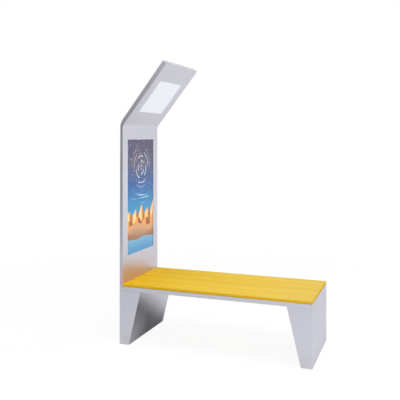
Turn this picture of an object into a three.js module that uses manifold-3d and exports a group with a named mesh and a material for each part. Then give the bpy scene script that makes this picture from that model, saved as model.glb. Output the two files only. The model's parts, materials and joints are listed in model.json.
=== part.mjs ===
// Solar charging bench: a slatted seat between two tapered steel legs, with a thin
// tower at one end that holds a lit poster and bends over into a sloping canopy
// with a lamp underneath and a solar module on top.
//
// Lengths are millimetres and +Z is up. The origin is on the ground under the middle
// of the bench, +X runs from the tower to the free end of the seat, and -Y is the front.
// Inside the body group x starts at the outer face of the tower.
import * as THREE from "three";
import { mergeVertices } from "three/addons/utils/BufferGeometryUtils.js";
import Module from "manifold-3d";

// Overall form
const bench_length = 1500;
const bench_depth = 650;
const seat_height = 470;

// Clearances and cutting
const joint_gap = 0.3; // between welded or seated faces
const overrun = 4; // how far a cutting shape runs past what it cuts
const weld_tolerance = 0.001; // vertices closer than this are one vertex

// Tower and canopy, seen from the front
const tower_depth = 28; // from the outer face to the face that looks along the seat
const tower_lean = 6; // how far the outer face leans in between the seat and the bend
const bend_height = 1703; // height of the inner corner of the bend
const bend_inner_radius = 70;
const bend_outer_radius = 95;
const bend_steps = 8;
const canopy_angle = THREE.MathUtils.degToRad(51.7); // underside, above the horizontal
const canopy_length = 603; // along the underside
const canopy_root_thickness = 31;
const canopy_tip_thickness = 38;
const skin = 2; // sheet of the tower and canopy

// Legs
const leg_bottom_width = 80;
const leg_top_width = 180;
const leg_sheet = 2.5;
const base_plate_thickness = 6;
const anchor_hole_radius = 7;
const anchor_hole_sides = 24;
const anchor_outer_margin = 45; // from the bench's front and back to the outer holes
const anchor_inner_margin = 105; // and to the inner ones
const access_hole_margin = 145; // from front and back to the hand hole in the free leg's top
const access_hole_width = 60;
const access_hole_distance = 70; // from the leg's outer face to the middle of the hole

// Seat
const plank_count = 4;
const plank_thickness = 20;
const plank_gap = 5;
const plank_edge_radius = 3;
const plank_edge_steps = 3;
const rail_height = 30;
const rail_flange = 40;
const rail_sheet = 2.5;
const bearer_count = 3;
const bearer_width = 44;
const bearer_sheet = 2;
const bearer_first_distance = 100; // from the tower to the middle of the first bearer
const bearer_last_distance = 150; // from the free end to the middle of the last one

// Mast: two bent tubes inside the tower, with a bar between them
const post_width = 29.4;
const post_depth = 16;
const post_wall = 2;
const post_tip_distance = 12; // from the posts' upper ends to the tip plate
const bar_depth = 13;
const bar_height = 20;
const bar_notch_width = 17; // passage for the cables
const bar_notch_wall = 3.2; // what the passage leaves of the bar

// Lit poster
const poster_side_margin = 85; // from the tower's edge to what shows of the poster
const poster_low_margin = 206; // from the seat to what shows
const poster_high_margin = 109; // from what shows to the bend
const poster_lap = 10; // how far the glass runs behind the window's edge
const glass_thickness = 4;
const print_thickness = 0.8;
const light_guide_thickness = 5;
const box_back_thickness = 1;
const strip_width = 4.6;
const light_box_rim = 12;
const light_box_depth = 12.2;

// Doors, each a folded pan hung on a long hinge
const door_sheet = 2;
const door_flange = 8;
const door_gap = 2; // round the free edges
const door_hinge_gap = 4; // at the hinged edge
const poster_door_side_margin = 43; // from the tower's edge to the door
const poster_door_margin = 14; // door's edge past the lit poster's frame, above and below
const battery_door_side_margin = 63; // from the leg's edge to the door
const battery_door_low = 60;
const battery_door_drop = 45; // from the leg's top to the door

// Long hinge
const knuckle_radius = 2.5;
const knuckle_bore = 1.5;
const hinge_pin_radius = 1.2;
const hinge_sides = 12;
const leaf_thickness = 1.2;
const leaf_depth = 7;
const leaf_offset = 0.5; // from the hinge's middle plane to each leaf
const knuckle_gap = 0.5;
const hinge_end_distance = 12; // from a hinge's end to the end of its door
const poster_hinge_knuckles = 13;
const battery_hinge_knuckles = 7;

// Cam lock
const lock_barrel_radius = 6;
const lock_plug_radius = 4;
const lock_running_gap = 0.3;
const lock_head_radius = 8;
const lock_head_height = 1.5;
const lock_nut_radius = 8.5;
const lock_nut_height = 3;
const lock_edge_distance = 11; // from the door's edge to the lock's middle
const cam_thickness = 1.7;
const cam_width = 9;
const cam_reach = 20;
const cam_clearance = 1.3; // between a door's flange and the cam behind it
const lock_sides = 20;
const lock_nut_sides = 6;
const key_slot_width = 1.2;
const key_slot_length = 5;
const key_slot_depth = 1;
const poster_lock_height_shares = [0.25, 0.75]; // of the door's height

// Lamp under the canopy
const lamp_side_margin = 105; // from the canopy's edge to the lamp's window
const lamp_start = 141; // from the bend's corner to the window
const lamp_end_margin = 160; // from the window to the canopy's tip
const lamp_lap = 9;
const lamp_diffuser_thickness = 3;
const lamp_board_thickness = 1.6;
const lamp_board_inset = 3; // from the housing's walls to the board
const lamp_housing_depth = 13;
const lamp_housing_wall = 1.5;

// Solar module on the canopy
const solar_side_margin = 67; // from the canopy's edge to the hole for the module
const solar_end_margin = 42; // from the bend, and from the tip, to the hole
const solar_frame_width = 8;
const solar_ledge = 10; // carries the glass laminate
const solar_frame_depth = 9;
const solar_lap = 7; // how far the frame's rim lies on the canopy round the hole
const solar_rim_thickness = 1.7;
const laminate_thickness = 4;
const laminate_drop = 0.6; // below the rim's top
const junction_box_length = 60;
const junction_box_width = 90;
const junction_box_height = 14;
const junction_box_distance = 28; // from the module's upper end to the box
const junction_box_side = 60;

// Battery bay in the leg under the tower
const tray_wall = 2;
const tray_lip = 15;
const tray_start = 8; // from the outer face
const battery_width = 60;
const battery_length = 280;
const battery_height = 150;
const battery_margin = 125; // from the bench's front to the battery
const battery_terminal_radius = 6;
const battery_terminal_height = 5;
const battery_terminal_inset = 30; // from the battery's back end to the nearer terminal
const battery_terminal_spacing = 60;
const terminal_sides = 12;
const strap_width = 25;
const strap_thickness = 1.5;
const equipment_plate_distance = 100; // from the outer face
const equipment_plate_sheet = 2;
const equipment_plate_front_margin = 65; // from the bench's front to the plate
const equipment_plate_back_margin = 125; // from its back
const equipment_plate_drop = 270; // from the seat's top to the plate's lower edge
const equipment_plate_flange = 28;
const controller_margin = 225; // from the bench's front to the controller
const controller_width = 150;
const controller_drop = 80; // from the seat's top to the controller
const controller_height = 100;
const controller_depth = 34;
const controller_fin_count = 9;
const controller_fin_depth = 8;
const controller_fin_share = 0.5; // of each fin's pitch that is metal

// USB outlet on the back wall of the same leg
const outlet_distance = 95; // from the outer face
const outlet_drop = 120; // from the seat's top to the outlet's middle
const outlet_width = 36;
const outlet_tall = 22;
const outlet_depth = 24;
const outlet_bezel_margin = 10;
const outlet_bezel_thickness = 3;
const usb_width = 12.6;
const usb_tall = 5.2;
const usb_depth = 14;
const usb_spacing = 11;
const flap_thickness = 2.5;
const flap_margin = 4; // past the outlet
const flap_knuckle_radius = 2.4;
const flap_pin_radius = 1; // of the round ends that turn in the outlet's ears
const flap_knuckle_share = 0.5; // of the flap's width

// Cables
const cable_sides = 8;
const cable_corner_reach = 25; // from a corner of the route to where its curve starts
const cable_corner_reach_share = 0.45; // of the stretch, where that is shorter
const cable_corner_steps = 4;
const cable_radius = 2.5;
const light_cable_radius = 2;
const lead_radius = 3.2;
const cable_channel_height = 9.5; // behind the outer surface of the tower's face
const cable_lane_pitch = 7;
const cable_side_gap = 1.8; // from the light box to the first cable
const cable_hole_gap = 0.6; // round a cable in its hole
const cable_entry_pitch = 20; // between the places where the cables enter the controller
const usb_cable_distance = 22; // from the outlet's back to the cable's last corner
const lead_drop = 50; // from the controller to the lead's first corner
const lead_tail_rise = 30; // from a terminal to its tail's corner

// Materials
const paint = (color, roughness, metalness) =>
  new THREE.MeshStandardMaterial({ color, roughness, metalness });
const silver_paint = paint(0xc9cad2, 0.42, 0.35);
const galvanised = paint(0xa9adb0, 0.5, 0.8);
const yellow_timber = paint(0xeab92c, 0.5, 0);
const clear_glass = paint(0x5d7fb0, 0.1, 0);
const printed_film = paint(0x5a86b8, 0.5, 0);
const clear_acrylic = paint(0xe8eef2, 0.2, 0);
const white_film = paint(0xf2f2f2, 0.6, 0);
const white_board = paint(0xf4f4ee, 0.5, 0.1);
const opal_acrylic = paint(0xeef0fa, 0.4, 0);
const aluminium = paint(0xb9bcc0, 0.35, 0.9);
const stainless = paint(0xc4c6c8, 0.25, 1);
const solar_glass = paint(0x16203a, 0.12, 0);
const black_plastic = paint(0x1c1d20, 0.5, 0);
const blue_wrap = paint(0x27508c, 0.45, 0);
const webbing = paint(0x202124, 0.8, 0);
const cable_jacket = paint(0x141416, 0.55, 0);

const wasm = await Module();
wasm.setup();

// Shapes

function solidOf(geometry) {
  const bare = geometry.index ? geometry.toNonIndexed() : geometry.clone();
  bare.deleteAttribute("normal");
  bare.deleteAttribute("uv");
  const merged = mergeVertices(bare, weld_tolerance);
  return new wasm.Manifold(
    new wasm.Mesh({
      numProp: 3,
      vertProperties: merged.attributes.position.array,
      triVerts: new Uint32Array(merged.index.array),
    }),
  );
}

function geometryOf(solid) {
  const mesh = solid.getMesh();
  const geometry = new THREE.BufferGeometry();
  geometry.setAttribute("position", new THREE.BufferAttribute(Float32Array.from(mesh.vertProperties), 3));
  geometry.setIndex(new THREE.BufferAttribute(Uint32Array.from(mesh.triVerts), 1));
  geometry.computeVertexNormals();
  return geometry;
}

function cut(base, ...tools) {
  return geometryOf(tools.reduce((solid, tool) => solid.subtract(solidOf(tool)), solidOf(base)));
}

function join(first, ...others) {
  return geometryOf(others.reduce((solid, other) => solid.add(solidOf(other)), solidOf(first)));
}

// A block between two corners.
function block([x0, x1], [y0, y1], [z0, z1]) {
  const geometry = new THREE.BoxGeometry(x1 - x0, y1 - y0, z1 - z0);
  return geometry.translate((x0 + x1) / 2, (y0 + y1) / 2, (z0 + z1) / 2);
}

function extrude(points, length) {
  const shape = new THREE.Shape(points.map(([a, b]) => new THREE.Vector2(a, b)));
  return new THREE.ExtrudeGeometry(shape, { depth: length, bevelEnabled: false });
}

// An outline drawn in x and z, given its width along y.
function acrossBench(points, [from, to]) {
  return extrude(points, to - from)
    .rotateX(Math.PI / 2)
    .translate(0, to, 0);
}

// An outline drawn in y and z, given its length along x.
function alongBench(points, [from, to]) {
  const turn = new THREE.Matrix4().makeBasis(
    new THREE.Vector3(0, 1, 0),
    new THREE.Vector3(0, 0, 1),
    new THREE.Vector3(1, 0, 0),
  );
  return extrude(points, to - from)
    .applyMatrix4(turn)
    .translate(from, 0, 0);
}

// Round bars standing along one axis: radius, span along the axis, and the other two places.
function barUp(radius, [from, to], x, y, sides) {
  return new THREE.CylinderGeometry(radius, radius, to - from, sides)
    .rotateX(Math.PI / 2)
    .translate(x, y, (from + to) / 2);
}

function barAlong(radius, [from, to], y, z, sides) {
  return new THREE.CylinderGeometry(radius, radius, to - from, sides)
    .rotateZ(Math.PI / 2)
    .translate((from + to) / 2, y, z);
}

// A line through points, which a section is carried along point by point.
class Route extends THREE.Curve {
  constructor(points) {
    super();
    this.points = points;
  }

  getPointAt(share, target = new THREE.Vector3()) {
    return target.copy(this.points[Math.round(share * (this.points.length - 1))]);
  }

  getTangentAt(share, target = new THREE.Vector3()) {
    const i = Math.round(share * (this.points.length - 1));
    const here = this.points[i];
    const into = here.clone().sub(this.points[Math.max(i - 1, 0)]).normalize();
    const out = this.points[Math.min(i + 1, this.points.length - 1)].clone().sub(here).normalize();
    return target.copy(into.add(out)).normalize();
  }
}

// The corners of a route, eased into curves.
function easedRoute(corners) {
  const route = [corners[0]];
  for (let i = 1; i < corners.length - 1; i++) {
    const into = corners[i].clone().sub(corners[i - 1]);
    const out = corners[i + 1].clone().sub(corners[i]);
    const shorter = Math.min(into.length(), out.length());
    const reach = Math.min(cable_corner_reach, shorter * cable_corner_reach_share);
    const start = corners[i].clone().addScaledVector(into.normalize(), -reach);
    const end = corners[i].clone().addScaledVector(out.normalize(), reach);
    route.push(...new THREE.QuadraticBezierCurve3(start, corners[i], end).getPoints(cable_corner_steps));
  }
  route.push(corners[corners.length - 1]);
  return new Route(route);
}

function cable(radius, corners) {
  const section = Array.from({ length: cable_sides }, (_, i) => {
    const angle = (2 * Math.PI * i) / cable_sides;
    return new THREE.Vector2(radius * Math.cos(angle), radius * Math.sin(angle));
  });
  const route = easedRoute(corners);
  return new THREE.ExtrudeGeometry(new THREE.Shape(section), {
    extrudePath: route,
    steps: route.points.length - 1,
    bevelEnabled: false,
  });
}

const at = (x, y, z) => new THREE.Vector3(x, y, z);

// Paths drawn in x and z. A path's right-hand side, going up the tower, faces along the seat.

function along([x, z], [dx, dz], distance) {
  return [x + dx * distance, z + dz * distance];
}

function direction([x0, z0], [x1, z1]) {
  const length = Math.hypot(x1 - x0, z1 - z0);
  return [(x1 - x0) / length, (z1 - z0) / length];
}

function crossing(p, [px, pz], q, [qx, qz]) {
  const distance = ((q[0] - p[0]) * qz - (q[1] - p[1]) * qx) / (px * qz - pz * qx);
  return along(p, [px, pz], distance);
}

// The same path moved to its right by a distance.
function shifted(path, distance) {
  const legs = path.slice(1).map((end, i) => {
    const [dx, dz] = direction(path[i], end);
    const right = [dz, -dx];
    return { start: along(path[i], right, distance), end: along(end, right, distance), way: [dx, dz] };
  });
  const corners = legs.slice(1).map((leg, i) => crossing(legs[i].start, legs[i].way, leg.start, leg.way));
  return [legs[0].start, ...corners, legs[legs.length - 1].end];
}

// The path with its last corner rounded to the right.
function rounded(path, radius) {
  const corner = path[path.length - 2];
  const before = direction(path[path.length - 3], corner);
  const after = direction(corner, path[path.length - 1]);
  const turn = Math.acos(before[0] * after[0] + before[1] * after[1]);
  const start = along(corner, before, -radius * Math.tan(turn / 2));
  const middle = along(start, [before[1], -before[0]], radius);
  const heading = Math.atan2(start[1] - middle[1], start[0] - middle[0]);
  const arc = Array.from({ length: bend_steps + 1 }, (_, i) => {
    const angle = heading - (turn * i) / bend_steps;
    return along(middle, [Math.cos(angle), Math.sin(angle)], radius);
  });
  return [...path.slice(0, -2), ...arc, path[path.length - 1]];
}

// The closed outline between two distances to the right of a path.
function band(path, radius, near, far) {
  return [
    ...rounded(shifted(path, near), radius - near),
    ...rounded(shifted(path, far), radius - far).reverse(),
  ];
}

// Sizes that several pieces share

const half_depth = bench_depth / 2;
const rail_top = seat_height - plank_thickness - joint_gap;
const rail_bottom = rail_top - rail_height;
const leg_height = rail_bottom - joint_gap;
const tower_foot = leg_height + joint_gap;
const seat_start = tower_depth + joint_gap;
const side_inner = half_depth - skin; // inner face of the tower's side strips
const skin_half_width = side_inner - joint_gap;
const post_outer = half_depth - Math.max(skin, leg_sheet) - joint_gap;
const post_inner = post_outer - post_width;
const post_back = skin + joint_gap + post_depth; // from the tower's inner face

const poster_width = bench_depth - 2 * poster_side_margin;
const poster_height = bend_height - poster_high_margin - seat_height - poster_low_margin;
const poster_middle_height = seat_height + poster_low_margin + poster_height / 2;
const lamp_width = bench_depth - 2 * lamp_side_margin;
const lamp_length = canopy_length - lamp_start - lamp_end_margin;
const battery_front = battery_margin - half_depth;
const controller_front = controller_margin - half_depth;
const controller_low = seat_height - controller_drop - controller_height;
const outlet_height = seat_height - outlet_drop;

const under_way = [Math.cos(canopy_angle), Math.sin(canopy_angle)];
const under_normal = [-under_way[1], under_way[0]];
const inner_corner = [tower_depth, bend_height];
const inner_tip = along(inner_corner, under_way, canopy_length);
const outer_root = along(inner_corner, under_normal, canopy_root_thickness);
const outer_tip = along(inner_tip, under_normal, canopy_tip_thickness);
const top_way = direction(outer_root, outer_tip);
const lean_angle = Math.atan2(tower_lean, bend_height - seat_height);
const lean_way = [Math.sin(lean_angle), Math.cos(lean_angle)];
const outer_corner = crossing([0, seat_height], lean_way, outer_root, top_way);
const top_angle = Math.atan2(top_way[1], top_way[0]);

const face_path = [[tower_depth, tower_foot], inner_corner, inner_tip];
const back_path = [[0, tower_foot], [0, seat_height], outer_corner, outer_tip];

// The same paths, ended a distance before the tip.
const facePathTo = (distance) => [...face_path.slice(0, -1), along(inner_tip, under_way, -distance)];
const backPathTo = (distance) => [...back_path.slice(0, -1), along(outer_tip, top_way, -distance)];

// Frames that pieces are set in

const bench = new THREE.Group();
const body = new THREE.Group();
body.position.x = -bench_length / 2;
bench.add(body);

// Turned so that x runs up a slope and z is its outward normal on the top side.
function slopeFrame([x, z], angle) {
  const frame = new THREE.Group();
  frame.position.set(x, 0, z);
  frame.rotation.y = -angle;
  frame.updateMatrix();
  body.add(frame);
  return frame;
}

const under_frame = slopeFrame(inner_corner, canopy_angle);
const top_frame = slopeFrame(outer_corner, top_angle);

// On the leaning outer face, with z up the lean and x = 0 on the face.
const back_frame = new THREE.Group();
back_frame.position.z = seat_height;
back_frame.rotation.y = lean_angle;
back_frame.updateMatrix();
body.add(back_frame);

function place(name, geometry, material, frame = body) {
  const mesh = new THREE.Mesh(geometry, material);
  mesh.name = name;
  frame.add(mesh);
  return mesh;
}

// Legs

// The outline of a leg's inside or outside, from the front, with the leg's outer face at x = 0.
function legOutline(sheet, low, high) {
  const spread = (leg_top_width - leg_bottom_width) / leg_height;
  const slant = sheet * Math.hypot(1, spread);
  const wallAt = (z) => leg_bottom_width + spread * z - slant;
  return [
    [sheet, low],
    [wallAt(low), low],
    [wallAt(high), high],
    [sheet, high],
  ];
}

const mirrored = (points) => points.map(([x, z]) => [bench_length - x, z]);

// A leg is a box of sheet with a closed top and an open foot.
function legShell(turned, hollow) {
  const outside = acrossBench(turned(legOutline(0, 0, leg_height)), [-half_depth, half_depth]);
  const inner_half = half_depth - leg_sheet;
  return cut(outside, acrossBench(turned(hollow), [-inner_half, inner_half]));
}

const leg_ceiling = leg_height - leg_sheet;
const free_leg_hollow = legOutline(leg_sheet, -overrun, leg_ceiling);

// The hollow of the leg under the tower runs on up into the tower.
const tower_leg_hollow = [
  ...free_leg_hollow.slice(0, -1),
  [tower_depth - skin, leg_ceiling],
  [tower_depth - skin, leg_height + overrun],
  [leg_sheet, leg_height + overrun],
];

// A plate that fits a leg's foot, with holes for the anchors.
function basePlate(turned) {
  const outline = legOutline(leg_sheet + joint_gap, 0, base_plate_thickness);
  const inner_half = half_depth - leg_sheet - joint_gap;
  const plate = acrossBench(turned(outline), [-inner_half, inner_half]);
  const x = turned([[leg_bottom_width / 2, 0]])[0][0];
  const places = [anchor_inner_margin, anchor_outer_margin].map((margin) => half_depth - margin);
  const rows = places.flatMap((y) => [-y, y]);
  const holes = rows.map((y) =>
    barUp(anchor_hole_radius, [-overrun, base_plate_thickness + overrun], x, y, anchor_hole_sides),
  );
  return cut(plate, ...holes);
}

const as_drawn = (points) => points;

// Openings and doors. A door's own frame has x = 0 on the wall's outer face and z up the wall.

const poster_frame_half = poster_height / 2 + poster_lap + joint_gap + light_box_rim;
const door_foot_shift = seat_height; // the leaning frame starts at the seat
const poster_door = {
  half: half_depth - poster_door_side_margin,
  low: poster_middle_height - poster_frame_half - poster_door_margin + joint_gap - door_foot_shift,
  high: poster_middle_height + poster_frame_half + poster_door_margin - joint_gap - door_foot_shift,
  knuckles: poster_hinge_knuckles,
  frame: back_frame,
};
const battery_door = {
  half: half_depth - battery_door_side_margin,
  low: battery_door_low,
  high: leg_height - battery_door_drop,
  knuckles: battery_hinge_knuckles,
  frame: body,
};

// The hole that a door closes, with more room on the hinged side.
function doorway(door, more, [x0, x1]) {
  return block(
    [x0, x1],
    [-door.half - door_gap - more, door.half + door_hinge_gap + more],
    [door.low - door_gap - more, door.high + door_gap + more],
  );
}

// The folded edge round a doorway.
function doorwayRim(door) {
  const ring = doorway(door, skin, [skin / 2, door_flange]);
  return cut(ring, doorway(door, 0, [-overrun, door_flange + overrun]));
}

function lockPlaces(door) {
  const y = -door.half + lock_edge_distance;
  if (door === battery_door) return [[y, (door.low + door.high) / 2]];
  return poster_lock_height_shares.map((share) => [y, door.low + (door.high - door.low) * share]);
}

function doorPan(door) {
  const outside = block([0, door_flange], [-door.half, door.half], [door.low, door.high]);
  const hollow = block(
    [door_sheet, door_flange + overrun],
    [-door.half + door_sheet, door.half - door_sheet],
    [door.low + door_sheet, door.high - door_sheet],
  );
  const radius = lock_barrel_radius + lock_running_gap;
  const holes = lockPlaces(door).map(([y, z]) =>
    barAlong(radius, [-overrun, door_sheet + overrun], y, z, lock_sides),
  );
  return cut(outside, hollow, ...holes);
}

// Long hinge. Its axis stands outside the wall, in the middle of the hinged gap.

const hinge_stand_off = knuckle_radius + joint_gap;
const hinge_axis_y = (door) => door.half + door_hinge_gap / 2;

// The stretches of the axis that one leaf's knuckles take: every other one of the row.
function knuckleSpans(door, first) {
  const low = door.low + hinge_end_distance;
  const pitch = (door.high - door.low - 2 * hinge_end_distance) / door.knuckles;
  const spans = [];
  for (let i = first; i < door.knuckles; i += 2) {
    spans.push([low + pitch * i + knuckle_gap / 2, low + pitch * (i + 1) - knuckle_gap / 2]);
  }
  return spans;
}

function hingeLeaf(door, side, first) {
  const axis_y = hinge_axis_y(door);
  const near = axis_y + side * leaf_offset;
  const far = near + side * leaf_thickness;
  const width = [Math.min(near, far), Math.max(near, far)];
  const plate = block(
    [joint_gap / 2, joint_gap / 2 + leaf_depth],
    width,
    [door.low + hinge_end_distance, door.high - hinge_end_distance],
  );
  const tab_start = -hinge_stand_off + (knuckle_radius + knuckle_bore) / 2;
  const pieces = knuckleSpans(door, first).flatMap((span) => [
    barUp(knuckle_radius, span, -hinge_stand_off, axis_y, hinge_sides),
    block([tab_start - leaf_offset, joint_gap], width, span),
  ]);
  const ends = [door.low, door.high];
  const bore = barUp(knuckle_bore, ends, -hinge_stand_off, axis_y, hinge_sides);
  return cut(join(plate, ...pieces), bore);
}

function hingePin(door) {
  const ends = [door.low + hinge_end_distance, door.high - hinge_end_distance];
  return barUp(hinge_pin_radius, ends, -hinge_stand_off, hinge_axis_y(door), hinge_sides);
}

function placeHinge(name, door) {
  place(name + "_hinge_frame_leaf", hingeLeaf(door, 1, 0), stainless, door.frame);
  place(name + "_hinge_door_leaf", hingeLeaf(door, -1, 1), stainless, door.frame);
  place(name + "_hinge_pin", hingePin(door), stainless, door.frame);
}

// Cam lock: a fixed body clamped in the door, and a plug that carries the cam.

const cam_start = door_flange + cam_clearance;

function lockBody([y, z]) {
  const head_low = -joint_gap - lock_head_height;
  const barrel_end = cam_start - joint_gap;
  const nut_low = door_sheet + joint_gap;
  const whole = join(
    barAlong(lock_head_radius, [head_low, -joint_gap], y, z, lock_sides),
    barAlong(lock_barrel_radius, [head_low, barrel_end], y, z, lock_sides),
    barAlong(lock_nut_radius, [nut_low, nut_low + lock_nut_height], y, z, lock_nut_sides),
  );
  const bore = lock_plug_radius + lock_running_gap;
  return cut(whole, barAlong(bore, [head_low - overrun, barrel_end + overrun], y, z, lock_sides));
}

function lockCam([y, z]) {
  const face = -joint_gap - lock_head_height;
  const plug = barAlong(lock_plug_radius, [face, cam_start + cam_thickness], y, z, lock_sides);
  const tongue = block(
    [cam_start, cam_start + cam_thickness],
    [y - cam_width / 2, y + cam_width / 2],
    [z - cam_reach, z + cam_width / 2],
  );
  const slot = block(
    [face - overrun, face + key_slot_depth],
    [y - key_slot_width / 2, y + key_slot_width / 2],
    [z - key_slot_length / 2, z + key_slot_length / 2],
  );
  return cut(join(plug, tongue), slot);
}

function placeLocks(names, door) {
  lockPlaces(door).forEach((spot, i) => {
    place(names[i] + "_lock_body", lockBody(spot), stainless, door.frame);
    place(names[i] + "_lock_cam", lockCam(spot), stainless, door.frame);
  });
}

// USB outlet in the back wall of the leg: a moulded plate with the sockets behind it, and a flap
// that hangs from two ears

const wall_face = half_depth; // outer face of the back wall
const bezel_half_width = outlet_width / 2 + outlet_bezel_margin;
const bezel_face = wall_face + joint_gap + outlet_bezel_thickness;
const outlet_back = bezel_face - outlet_depth;
const flap_back = bezel_face + joint_gap;
const flap_axis_y = flap_back + flap_knuckle_radius;
const flap_axis_z = outlet_height + outlet_tall / 2 + flap_margin + flap_knuckle_radius;
const flap_half_width = outlet_width / 2 + flap_margin;
const flap_knuckle_half = flap_half_width * flap_knuckle_share;
const flap_bore_radius = flap_pin_radius + joint_gap;

// A block round the outlet's middle, larger than the sockets' housing by a margin.
function outletBlock(margin, [y0, y1]) {
  return block(
    [outlet_distance - outlet_width / 2 - margin, outlet_distance + outlet_width / 2 + margin],
    [y0, y1],
    [outlet_height - outlet_tall / 2 - margin, outlet_height + outlet_tall / 2 + margin],
  );
}

function outletEar(side) {
  const inner = outlet_distance + side * (flap_knuckle_half + knuckle_gap);
  const outer = outlet_distance + side * flap_half_width;
  const span = [Math.min(inner, outer), Math.max(inner, outer)];
  const foot = block(
    span,
    [bezel_face - outlet_bezel_thickness / 2, flap_axis_y],
    [flap_axis_z - flap_knuckle_radius / 2, flap_axis_z + flap_knuckle_radius / 2],
  );
  return join(barAlong(flap_knuckle_radius, span, flap_axis_y, flap_axis_z, hinge_sides), foot);
}

function usbPort(side) {
  const z = outlet_height + (side * usb_spacing) / 2;
  return block(
    [outlet_distance - usb_width / 2, outlet_distance + usb_width / 2],
    [bezel_face - usb_depth, bezel_face + overrun],
    [z - usb_tall / 2, z + usb_tall / 2],
  );
}

function usbOutlet() {
  const plate = outletBlock(outlet_bezel_margin, [wall_face + joint_gap, bezel_face]);
  const housing = outletBlock(0, [outlet_back, bezel_face - outlet_bezel_thickness / 2]);
  const whole = join(plate, housing, outletEar(-1), outletEar(1));
  const bore_span = [outlet_distance - bezel_half_width, outlet_distance + bezel_half_width];
  const bore = barAlong(flap_bore_radius, bore_span, flap_axis_y, flap_axis_z, hinge_sides);
  return cut(whole, usbPort(-1), usbPort(1), bore);
}

function usbFlap() {
  const lid = block(
    [outlet_distance - flap_half_width, outlet_distance + flap_half_width],
    [flap_back, flap_back + flap_thickness],
    [outlet_height - outlet_tall / 2 - flap_margin, flap_axis_z - flap_knuckle_radius - joint_gap],
  );
  const span = [outlet_distance - flap_knuckle_half, outlet_distance + flap_knuckle_half];
  const pin_span = [outlet_distance - flap_half_width, outlet_distance + flap_half_width];
  const neck = block(
    span,
    [flap_back, flap_back + flap_thickness],
    [flap_axis_z - flap_knuckle_radius - 2 * joint_gap, flap_axis_z],
  );
  return join(
    lid,
    barAlong(flap_knuckle_radius, span, flap_axis_y, flap_axis_z, hinge_sides),
    barAlong(flap_pin_radius, pin_span, flap_axis_y, flap_axis_z, hinge_sides),
    neck,
  );
}

// Pieces

function placeLegs() {
  const tower_leg = cut(
    join(legShell(as_drawn, tower_leg_hollow), doorwayRim(battery_door)),
    doorway(battery_door, 0, [-overrun, door_flange + overrun]),
    outletBlock(joint_gap, [half_depth - leg_sheet - overrun, half_depth + overrun]),
  );
  place("tower_leg_shell", tower_leg, silver_paint);
  place("tower_leg_base_plate", basePlate(as_drawn), galvanised);

  const hole_middle = bench_length - access_hole_distance;
  const hole_half = half_depth - access_hole_margin;
  const access_hole = block(
    [hole_middle - access_hole_width / 2, hole_middle + access_hole_width / 2],
    [-hole_half, hole_half],
    [leg_ceiling - overrun, leg_height + overrun],
  );
  place("free_leg_shell", cut(legShell(mirrored, free_leg_hollow), access_hole), silver_paint);
  place("free_leg_base_plate", basePlate(mirrored), galvanised);
}

// A channel rail that opens towards the middle of the seat, at the front (-1) or back (1).
function sideRail(side) {
  const [web, lip] = [half_depth, half_depth - rail_flange];
  const outline = [
    [lip, rail_bottom],
    [web, rail_bottom],
    [web, rail_top],
    [lip, rail_top],
    [lip, rail_top - rail_sheet],
    [web - rail_sheet, rail_top - rail_sheet],
    [web - rail_sheet, rail_bottom + rail_sheet],
    [lip, rail_bottom + rail_sheet],
  ].map(([y, z]) => [side * y, z]);
  return alongBench(outline, [seat_start, bench_length - rail_sheet - joint_gap]);
}

function endRail() {
  const flange_half = half_depth - rail_flange - joint_gap;
  const web_x = bench_length - rail_sheet;
  const web = block([web_x, bench_length], [-half_depth, half_depth], [rail_bottom, rail_top]);
  const span = [bench_length - rail_flange, bench_length - rail_sheet / 2];
  const low = block(span, [-flange_half, flange_half], [rail_bottom, rail_bottom + rail_sheet]);
  const high = block(span, [-flange_half, flange_half], [rail_top - rail_sheet, rail_top]);
  return join(web, low, high);
}

// A channel across the seat, open below, that the planks lie on.
function bearer(x) {
  const half = bearer_width / 2;
  const inner = half - bearer_sheet;
  const outline = [
    [x - half, rail_bottom],
    [x - half, rail_top],
    [x + half, rail_top],
    [x + half, rail_bottom],
    [x + inner, rail_bottom],
    [x + inner, rail_top - bearer_sheet],
    [x - inner, rail_top - bearer_sheet],
    [x - inner, rail_bottom],
  ];
  const half_span = half_depth - rail_flange - joint_gap;
  return acrossBench(outline, [-half_span, half_span]);
}

// A plank's section, with its four edges rounded.
function plankSection(middle, width) {
  const half = width / 2 - plank_edge_radius;
  const low = seat_height - plank_thickness + plank_edge_radius;
  const high = seat_height - plank_edge_radius;
  const corners = [
    [middle + half, high, 0],
    [middle - half, high, 1],
    [middle - half, low, 2],
    [middle + half, low, 3],
  ];
  return corners.flatMap(([y, z, quarter]) =>
    Array.from({ length: plank_edge_steps + 1 }, (_, i) => {
      const angle = ((quarter + i / plank_edge_steps) * Math.PI) / 2;
      return along([y, z], [Math.cos(angle), Math.sin(angle)], plank_edge_radius);
    }),
  );
}

function placeSeat() {
  place("seat_rail_front", sideRail(-1), silver_paint);
  place("seat_rail_back", sideRail(1), silver_paint);
  place("seat_rail_end", endRail(), silver_paint);

  const first = seat_start + bearer_first_distance;
  const last = bench_length - bearer_last_distance;
  for (let i = 0; i < bearer_count; i++) {
    const x = first + ((last - first) * i) / (bearer_count - 1);
    place("seat_bearer_" + (i + 1), bearer(x), galvanised);
  }

  const width = (bench_depth - plank_gap * (plank_count - 1)) / plank_count;
  for (let i = 0; i < plank_count; i++) {
    const middle = -half_depth + width / 2 + (width + plank_gap) * i;
    const section = plankSection(middle, width);
    place("seat_plank_" + (i + 1), alongBench(section, [seat_start, bench_length]), yellow_timber);
  }
}

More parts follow.
